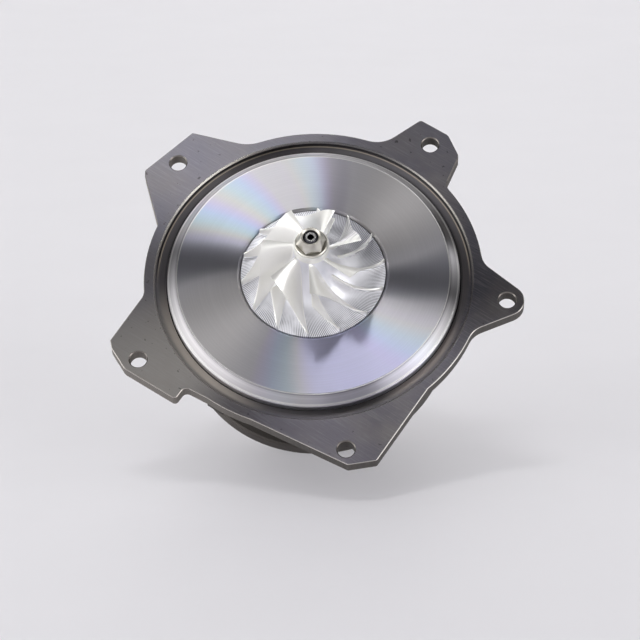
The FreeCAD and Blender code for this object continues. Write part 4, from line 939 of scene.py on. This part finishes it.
@dataclass
class ShaftNut:
    """Collared hexagon nut turned to a cone, on the end of the shaft."""

    base: float = 25.0
    collar_height: float = 0.8
    collar_radius: float = 6.2
    height: float = 5.6
    flats: float = 10.0
    top_radius: float = 3.9
    bore: float = 3.02
    bore_chamfer: float = 0.65
    turned: float = 40.0
    sliver: float = 0.005

    def build(self) -> bpy.types.Object:
        """Cuts a cone's sides with the six flats and adds the collar."""
        mesh = bmesh.new()
        top = self.base + self.height
        collar_top = self.base + self.collar_height
        lathe(mesh, [(self.bore, collar_top - 0.3), (6.0, collar_top - 0.3), (self.top_radius, top - 0.2),
                     (self.top_radius - 0.1, top), (self.bore + self.bore_chamfer, top),
                     (self.bore, top - self.bore_chamfer)], 180)
        for index in range(6):
            turn = math.radians(60 * index + self.turned)
            side = Vector((math.cos(turn), math.sin(turn), 0.0))
            bmesh.ops.bisect_plane(mesh, geom=mesh.verts[:] + mesh.edges[:] + mesh.faces[:],
                                   plane_co=side * mm(self.flats / 2), plane_no=side, clear_outer=True)
            loose = [edge for edge in mesh.edges if edge.is_boundary]
            bmesh.ops.holes_fill(mesh, edges=loose, sides=0)
        bmesh.ops.remove_doubles(mesh, verts=mesh.verts[:], dist=mm(self.sliver))
        bmesh.ops.dissolve_degenerate(mesh, edges=mesh.edges[:], dist=mm(self.sliver))
        collar = bmesh.new()
        lathe(collar, [(self.bore, self.base), (self.collar_radius - 0.15, self.base),
                       (self.collar_radius, self.base + 0.15), (self.collar_radius, collar_top - 0.2),
                       (self.collar_radius - 0.25, collar_top), (self.bore, collar_top)], 180)
        join(mesh, collar)
        return place_piece(mesh, "shaft_nut_turned", "rotor", NUT_STEEL, ("shaft_nut",), 25.0)


@dataclass
class Housing:
    """Cast bearing housing with the five-lug flange; its sharp edges are broken as a deburring tool leaves them."""

    edge_break: float = 0.38
    outline_break: float = 0.26
    face_start: float = 62.0

    def build(self) -> bpy.types.Object:
        """Merges a copy of the CAD mesh and rounds its edges."""
        mesh = bmesh.new()
        mesh.from_mesh(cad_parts["bearing_housing"].data)
        # Faces of the broken outline, which get bare metal with a painted highlight.
        worn = mesh.faces.layers.float.new("worn_edge_and_glint")
        bmesh.ops.remove_doubles(mesh, verts=mesh.verts[:], dist=mm(0.004))
        bmesh.ops.dissolve_limit(mesh, angle_limit=math.radians(0.6), verts=mesh.verts[:], edges=mesh.edges[:],
                                 use_dissolve_boundaries=False)
        outline = [edge for edge in sharper(mesh, 70) if all(self.on_outline(end.co) for end in edge.verts)]
        outline_count = len(outline)
        for face in break_edges(mesh, outline, self.outline_break, 1, False):
            face[worn] = 1.0
        below = [edge for edge in sharper(mesh, 50) if max(end.co.z for end in edge.verts) < mm(-1.0)]
        below_count = len(below)
        break_edges(mesh, below, self.edge_break)
        LOG.info("housing: %d outline edges, %d other edges broken", outline_count, below_count)
        return place_piece(mesh, "bearing_housing_casting", "cartridge", MachinedCasting(), ("bearing_housing",),
                           30.0)

    def on_outline(self, point: Vector) -> bool:
        """Whether a point lies in the flange's face outside the bore."""
        return abs(point.z) < mm(0.01) and math.hypot(point.x, point.y) > mm(self.face_start)


@dataclass
class DiffuserPlate:
    """Turned plate behind the compressor wheel."""

    def build(self) -> bpy.types.Object:
        """Spins the plate with its pocket, bevel and seal groove."""
        profile = [
            (8.0, -1.6), (9.8, -1.6), (12.8, 0.2), (28.1, 0.2), (28.2, 0.3), (28.2, 2.3), (28.26, 2.42),
            (29.1, 3.18), (29.3, 3.3), (52.2, 3.3), (52.35, 3.1), (52.62, 3.1), (52.72, 3.22), (52.85, 3.18),
            (55.6, 0.6), (55.68, 0.42), (55.85, 0.42), (56.3, -0.02), (56.4, -0.2), (56.4, -2.5), (55.2, -2.5),
            (55.2, -4.5), (56.4, -4.5), (56.4, -5.0), (17.2, -5.0), (17.2, -7.45), (14.2, -7.45), (14.2, -5.0),
            (8.0, -5.0),
        ]
        return TurnedPiece("diffuser_plate_turned", "cartridge", ("diffuser_plate",), profile, TurnedFace(),
                           512).build()


@dataclass
class HeatShield:
    """Drawn sheet dish on the turbine side."""

    def build(self) -> bpy.types.Object:
        """Spins the sheet with rounded bends."""
        profile = [
            (9.5, -56.0), (9.5, -56.8), (32.4, -56.8), (33.3, -56.65), (38.7, -54.05), (39.6, -53.8), (44.3, -53.8),
            (44.4, -53.7), (44.4, -53.1), (44.3, -53.0), (39.6, -53.0), (38.7, -53.2), (33.0, -55.85),
            (32.2, -56.0),
        ]
        return TurnedPiece("heat_shield_drawn", "cartridge", ("heat_shield",), profile, SHIELD_SHEET).build()


@dataclass
class HiddenPieces:
    """Bearings, seals and fasteners that keep their CAD shape and get their own finish."""

    finishes: dict[str, object] = field(default_factory=lambda: {
        "rotor_shaft": GroundShaft(),
        "oil_flinger": SLEEVE_STEEL,
        "thrust_collar": SLEEVE_STEEL,
        "thrust_bearing": BRONZE,
        "compressor_bearing": BRONZE,
        "turbine_bearing": BRONZE,
        "thrust_pins": SLEEVE_STEEL,
        "oil_deflector": SHIELD_SHEET,
        "compressor_seal_ring": SPRING_STEEL,
        "turbine_seal_ring": SPRING_STEEL,
        "bearing_circlip_1": SPRING_STEEL,
        "bearing_circlip_2": SPRING_STEEL,
        "bearing_circlip_3": SPRING_STEEL,
        "bearing_circlip_4": SPRING_STEEL,
        "plate_screws": BLACK_SCREW,
        "plate_o_ring": SealRubber(),
    })

    def build(self) -> None:
        """Puts each finish on its CAD node."""
        made: dict[str, bpy.types.Material] = {}
        for node, finish in self.finishes.items():
            if finish.name not in made:
                made[finish.name] = finish.material()
            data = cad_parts[node].data
            data.materials.clear()
            data.materials.append(made[finish.name])
            LOG.info("%s: %s", node, finish.name)


# Brightness of the tent near the plate's mirror direction, by the angle from +X towards +Y in degrees
NEAR_FAN = [
    (0, 0.05), (7, 0.48), (12, 0.60), (18, 0.05), (26, 0.20), (36, 0.57), (43, 0.93), (50, 0.55), (60, 0.50),
    (76, 0.44), (82, 0.42), (86, 0.56), (100, 0.45), (120, 0.48), (140, 0.60), (150, 0.60), (157, 0.50),
    (161, 0.36), (164, 0.0), (176, 0.0), (184, 0.42), (200, 0.54), (218, 0.54), (236, 0.12), (255, 0.44),
    (262, 0.24), (285, 0.08), (338, 0.04), (343, 0.0), (358, 0.0), (360, 0.05),
]

# Strip lamp in the tent, whose light the blades cut off from the plate
STRIP_FAN = [(0, 0.0), (85, 0.0), (87.5, 12.3), (120, 12.9), (148, 14.0), (159, 4.3), (163, 0.0), (360, 0.0)]

# Brightness of the tent farther off, which the bevel, the groove and the blades mirror
FAR_FAN = [
    (0, 0.55), (8, 1.45), (15, 0.0), (28, 0.0), (38, 0.48), (60, 1.15), (86, 2.2), (97, 1.30), (113, 0.95),
    (124, 1.6), (136, 2.5), (146, 1.85), (156, 1.2), (166, 0.25), (176, 0.68), (188, 1.35), (200, 2.1),
    (215, 2.8), (230, 3.3), (245, 1.65), (262, 1.15), (272, 1.1), (278, 0.0), (294, 0.0), (302, 2.6),
    (318, 3.6), (330, 2.1), (340, 1.1), (350, 0.08), (360, 0.55),
]


@dataclass
class Studio:
    """Camera at the photograph's angle, pale floor and soft lamps."""

    right: Vector = Vector((0.99951, 0.0, -0.03117))
    down: Vector = Vector((-0.01506, -0.87550, -0.48298))
    ahead: Vector = Vector((-0.02729, 0.48321, -0.87508))
    eye: Vector = Vector((0.03066, -0.5164, 0.9006))
    lens: float = 151.875
    floor_tilt: float = 15.0
    floor_gap: float = 0.5
    floor_reach: float = 6.0
    key_from: tuple[float, float, float] = (-0.105, 0.785, 0.618)
    key_distance: float = 1.3
    key_size: tuple[float, float] = (0.36, 0.26)
    key_power: float = 0.5
    to_camera: tuple[float, float, float] = (0.027, -0.483, 0.875)
    tent_scale: float = 16.0
    strip_start: tuple[float, float] = (8.6, 9.6)
    strip_end: tuple[float, float] = (11.6, 12.6)
    far_start: tuple[float, float] = (22.0, 32.0)

    def build(self) -> None:
        """Sets the camera, floor, key lamp and world."""
        self.camera()
        self.floor()
        self.key_lamp()
        self.world()
        bpy.context.scene.view_settings.view_transform = "Standard"

    def camera(self) -> None:
        """Camera with the fitted place, direction and lens."""
        data = bpy.data.cameras.new("camera")
        data.sensor_width = 36.0
        data.lens = self.lens
        data.clip_end = 50.0
        data.dof.use_dof = False
        camera = link("camera", data)
        up, back = -self.down, -self.ahead
        camera.matrix_world = Matrix((
            (self.right.x, up.x, back.x, self.eye.x), (self.right.y, up.y, back.y, self.eye.y),
            (self.right.z, up.z, back.z, self.eye.z), (0.0, 0.0, 0.0, 1.0)))
        bpy.context.scene.camera = camera

    def upward(self) -> Vector:
        """The floor's normal: the picture's upright, leant towards the camera."""
        tilt = math.radians(self.floor_tilt)
        return (-self.down * math.cos(tilt) - self.ahead * math.sin(tilt)).normalized()

    def floor(self) -> bpy.types.Object:
        """Pale table under the lowest point of the object, clear from below so that it hides no side of it."""
        normal = self.upward()
        lowest = min(normal.dot(vertex.co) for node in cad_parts.values() for vertex in node.data.vertices)
        mesh = bmesh.new()
        turn = normal.to_track_quat("Z", "Y").to_matrix().to_4x4()
        bmesh.ops.create_grid(mesh, x_segments=8, y_segments=8, size=self.floor_reach,
                              matrix=Matrix.Translation(normal * (lowest - mm(self.floor_gap))) @ turn)
        data = bpy.data.meshes.new("floor")
        mesh.to_mesh(data)
        mesh.free()
        table = link("floor", data)
        data.materials.append(self.table_finish())
        return table

    def table_finish(self) -> bpy.types.Material:
        """Matt pale table that glows a little; from below it is clear."""
        material, shader, place = new_material("pale_table")
        tree = material.node_tree
        colour = place.mix(place.noise(60.0, 6.0), linear("b0afb3"), linear("b6b5b9"))
        feed(tree, shader, Base_Color=colour, Roughness=0.6, Emission_Color=linear("c2c0c4"), Emission_Strength=0.52)
        behind = add(tree, "ShaderNodeNewGeometry").outputs["Backfacing"]
        clear = add(tree, "ShaderNodeBsdfTransparent").outputs[0]
        one_sided = add(tree, "ShaderNodeMixShader", {0: behind, 1: shader.outputs[0], 2: clear})
        tree.links.new(one_sided.outputs[0], tree.nodes["Material Output"].inputs["Surface"])
        return material

    def key_lamp(self) -> bpy.types.Object:
        """Soft lamp nearly over the table, which throws the blades' shadows down the plate."""
        data = bpy.data.lights.new("key", "AREA")
        data.shape = "RECTANGLE"
        data.size, data.size_y = self.key_size
        data.energy = self.key_power
        data.color = linear("fffdf8")[:3]
        direction = Vector(self.key_from)
        lamp = link("key", data)
        lamp.matrix_world = (Matrix.Translation(direction.normalized() * self.key_distance)
                             @ direction.to_track_quat("Z", "Y").to_matrix().to_4x4())
        return lamp

    def world(self) -> None:
        """Light tent with its panels and dark gaps fanned about the mirror direction of the diffuser plate."""
        world = bpy.data.worlds.new("light_tent")
        world.use_nodes = True
        bpy.context.scene.world = world
        tree = world.node_tree
        tree.nodes.clear()
        ahead = add(tree, "ShaderNodeTexCoord").outputs["Generated"]
        bisector = add(tree, "ShaderNodeVectorMath", {0: ahead, 1: self.to_camera}, operation="ADD")
        middle = add(tree, "ShaderNodeVectorMath", {0: bisector.outputs[0]}, operation="NORMALIZE")
        parts = add(tree, "ShaderNodeSeparateXYZ", {0: middle.outputs[0]})
        around = add(tree, "ShaderNodeMath", {0: parts.outputs[1], 1: parts.outputs[0]}, operation="ARCTAN2")
        turn = add(tree, "ShaderNodeMath", {0: around.outputs[0], 1: 2 * math.pi}, operation="DIVIDE")
        share = add(tree, "ShaderNodeMath", {0: turn.outputs[0]}, operation="FRACT").outputs[0]
        away = add(tree, "ShaderNodeMath", {0: parts.outputs[2]}, operation="ARCCOSINE").outputs[0]
        near, far, strip = (self.fan(tree, share, levels) for levels in (NEAR_FAN, FAR_FAN, STRIP_FAN))
        black = (0.0, 0.0, 0.0, 1.0)
        lit = self.between(tree, away, self.strip_start, black, strip)
        lit = self.between(tree, away, self.strip_end, lit, black)
        level = self.between(tree, away, self.far_start, near, far)
        level = add(tree, "ShaderNodeMix", {0: 1.0, 6: level, 7: lit}, data_type="RGBA", blend_type="ADD").outputs[2]
        tent = add(tree, "ShaderNodeBackground", {"Color": level, "Strength": self.tent_scale})
        backdrop = add(tree, "ShaderNodeBackground", {"Color": linear("e4e3e6"), "Strength": 1.0})
        seen = add(tree, "ShaderNodeLightPath").outputs["Is Camera Ray"]
        whole = add(tree, "ShaderNodeMixShader", {0: seen, 1: tent.outputs[0], 2: backdrop.outputs[0]})
        add(tree, "ShaderNodeOutputWorld", {0: whole.outputs[0]})

    def fan(self, tree: bpy.types.NodeTree, share: Socket, levels: Sequence[tuple[float, float]]) -> Socket:
        """Grey read round a circle from (degrees, level) pairs."""
        ramp = add(tree, "ShaderNodeValToRGB", {0: share})
        points = ramp.color_ramp.elements
        while len(points) < len(levels):
            points.new(1.0)
        for point, (degrees, level) in zip(points, levels):
            point.position = degrees / 360
            point.color = (*(level / self.tent_scale,) * 3, 1.0)
        return ramp.outputs[0]

    def between(self, tree: bpy.types.NodeTree, angle: Socket, limits: tuple[float, float], first: object,
                second: Socket) -> Socket:
        """Colour that changes smoothly from first to second while the angle passes two limits in degrees."""
        share = add(tree, "ShaderNodeMapRange", {"Value": angle, "From Min": math.radians(limits[0]),
                                                 "From Max": math.radians(limits[1])},
                    interpolation_type="SMOOTHSTEP").outputs[0]
        return add(tree, "ShaderNodeMix", {0: share, 6: first, 7: second}, data_type="RGBA").outputs[2]


def main() -> None:
    """Builds every piece and the studio."""
    logging.basicConfig(level=logging.INFO)
    Studio().build()
    for part in (Housing(), DiffuserPlate(), CompressorWheel(), ShaftNut(), HeatShield(), TurbineWheel(),
                 HiddenPieces()):
        part.build()


if __name__ == "__main__":
    main()
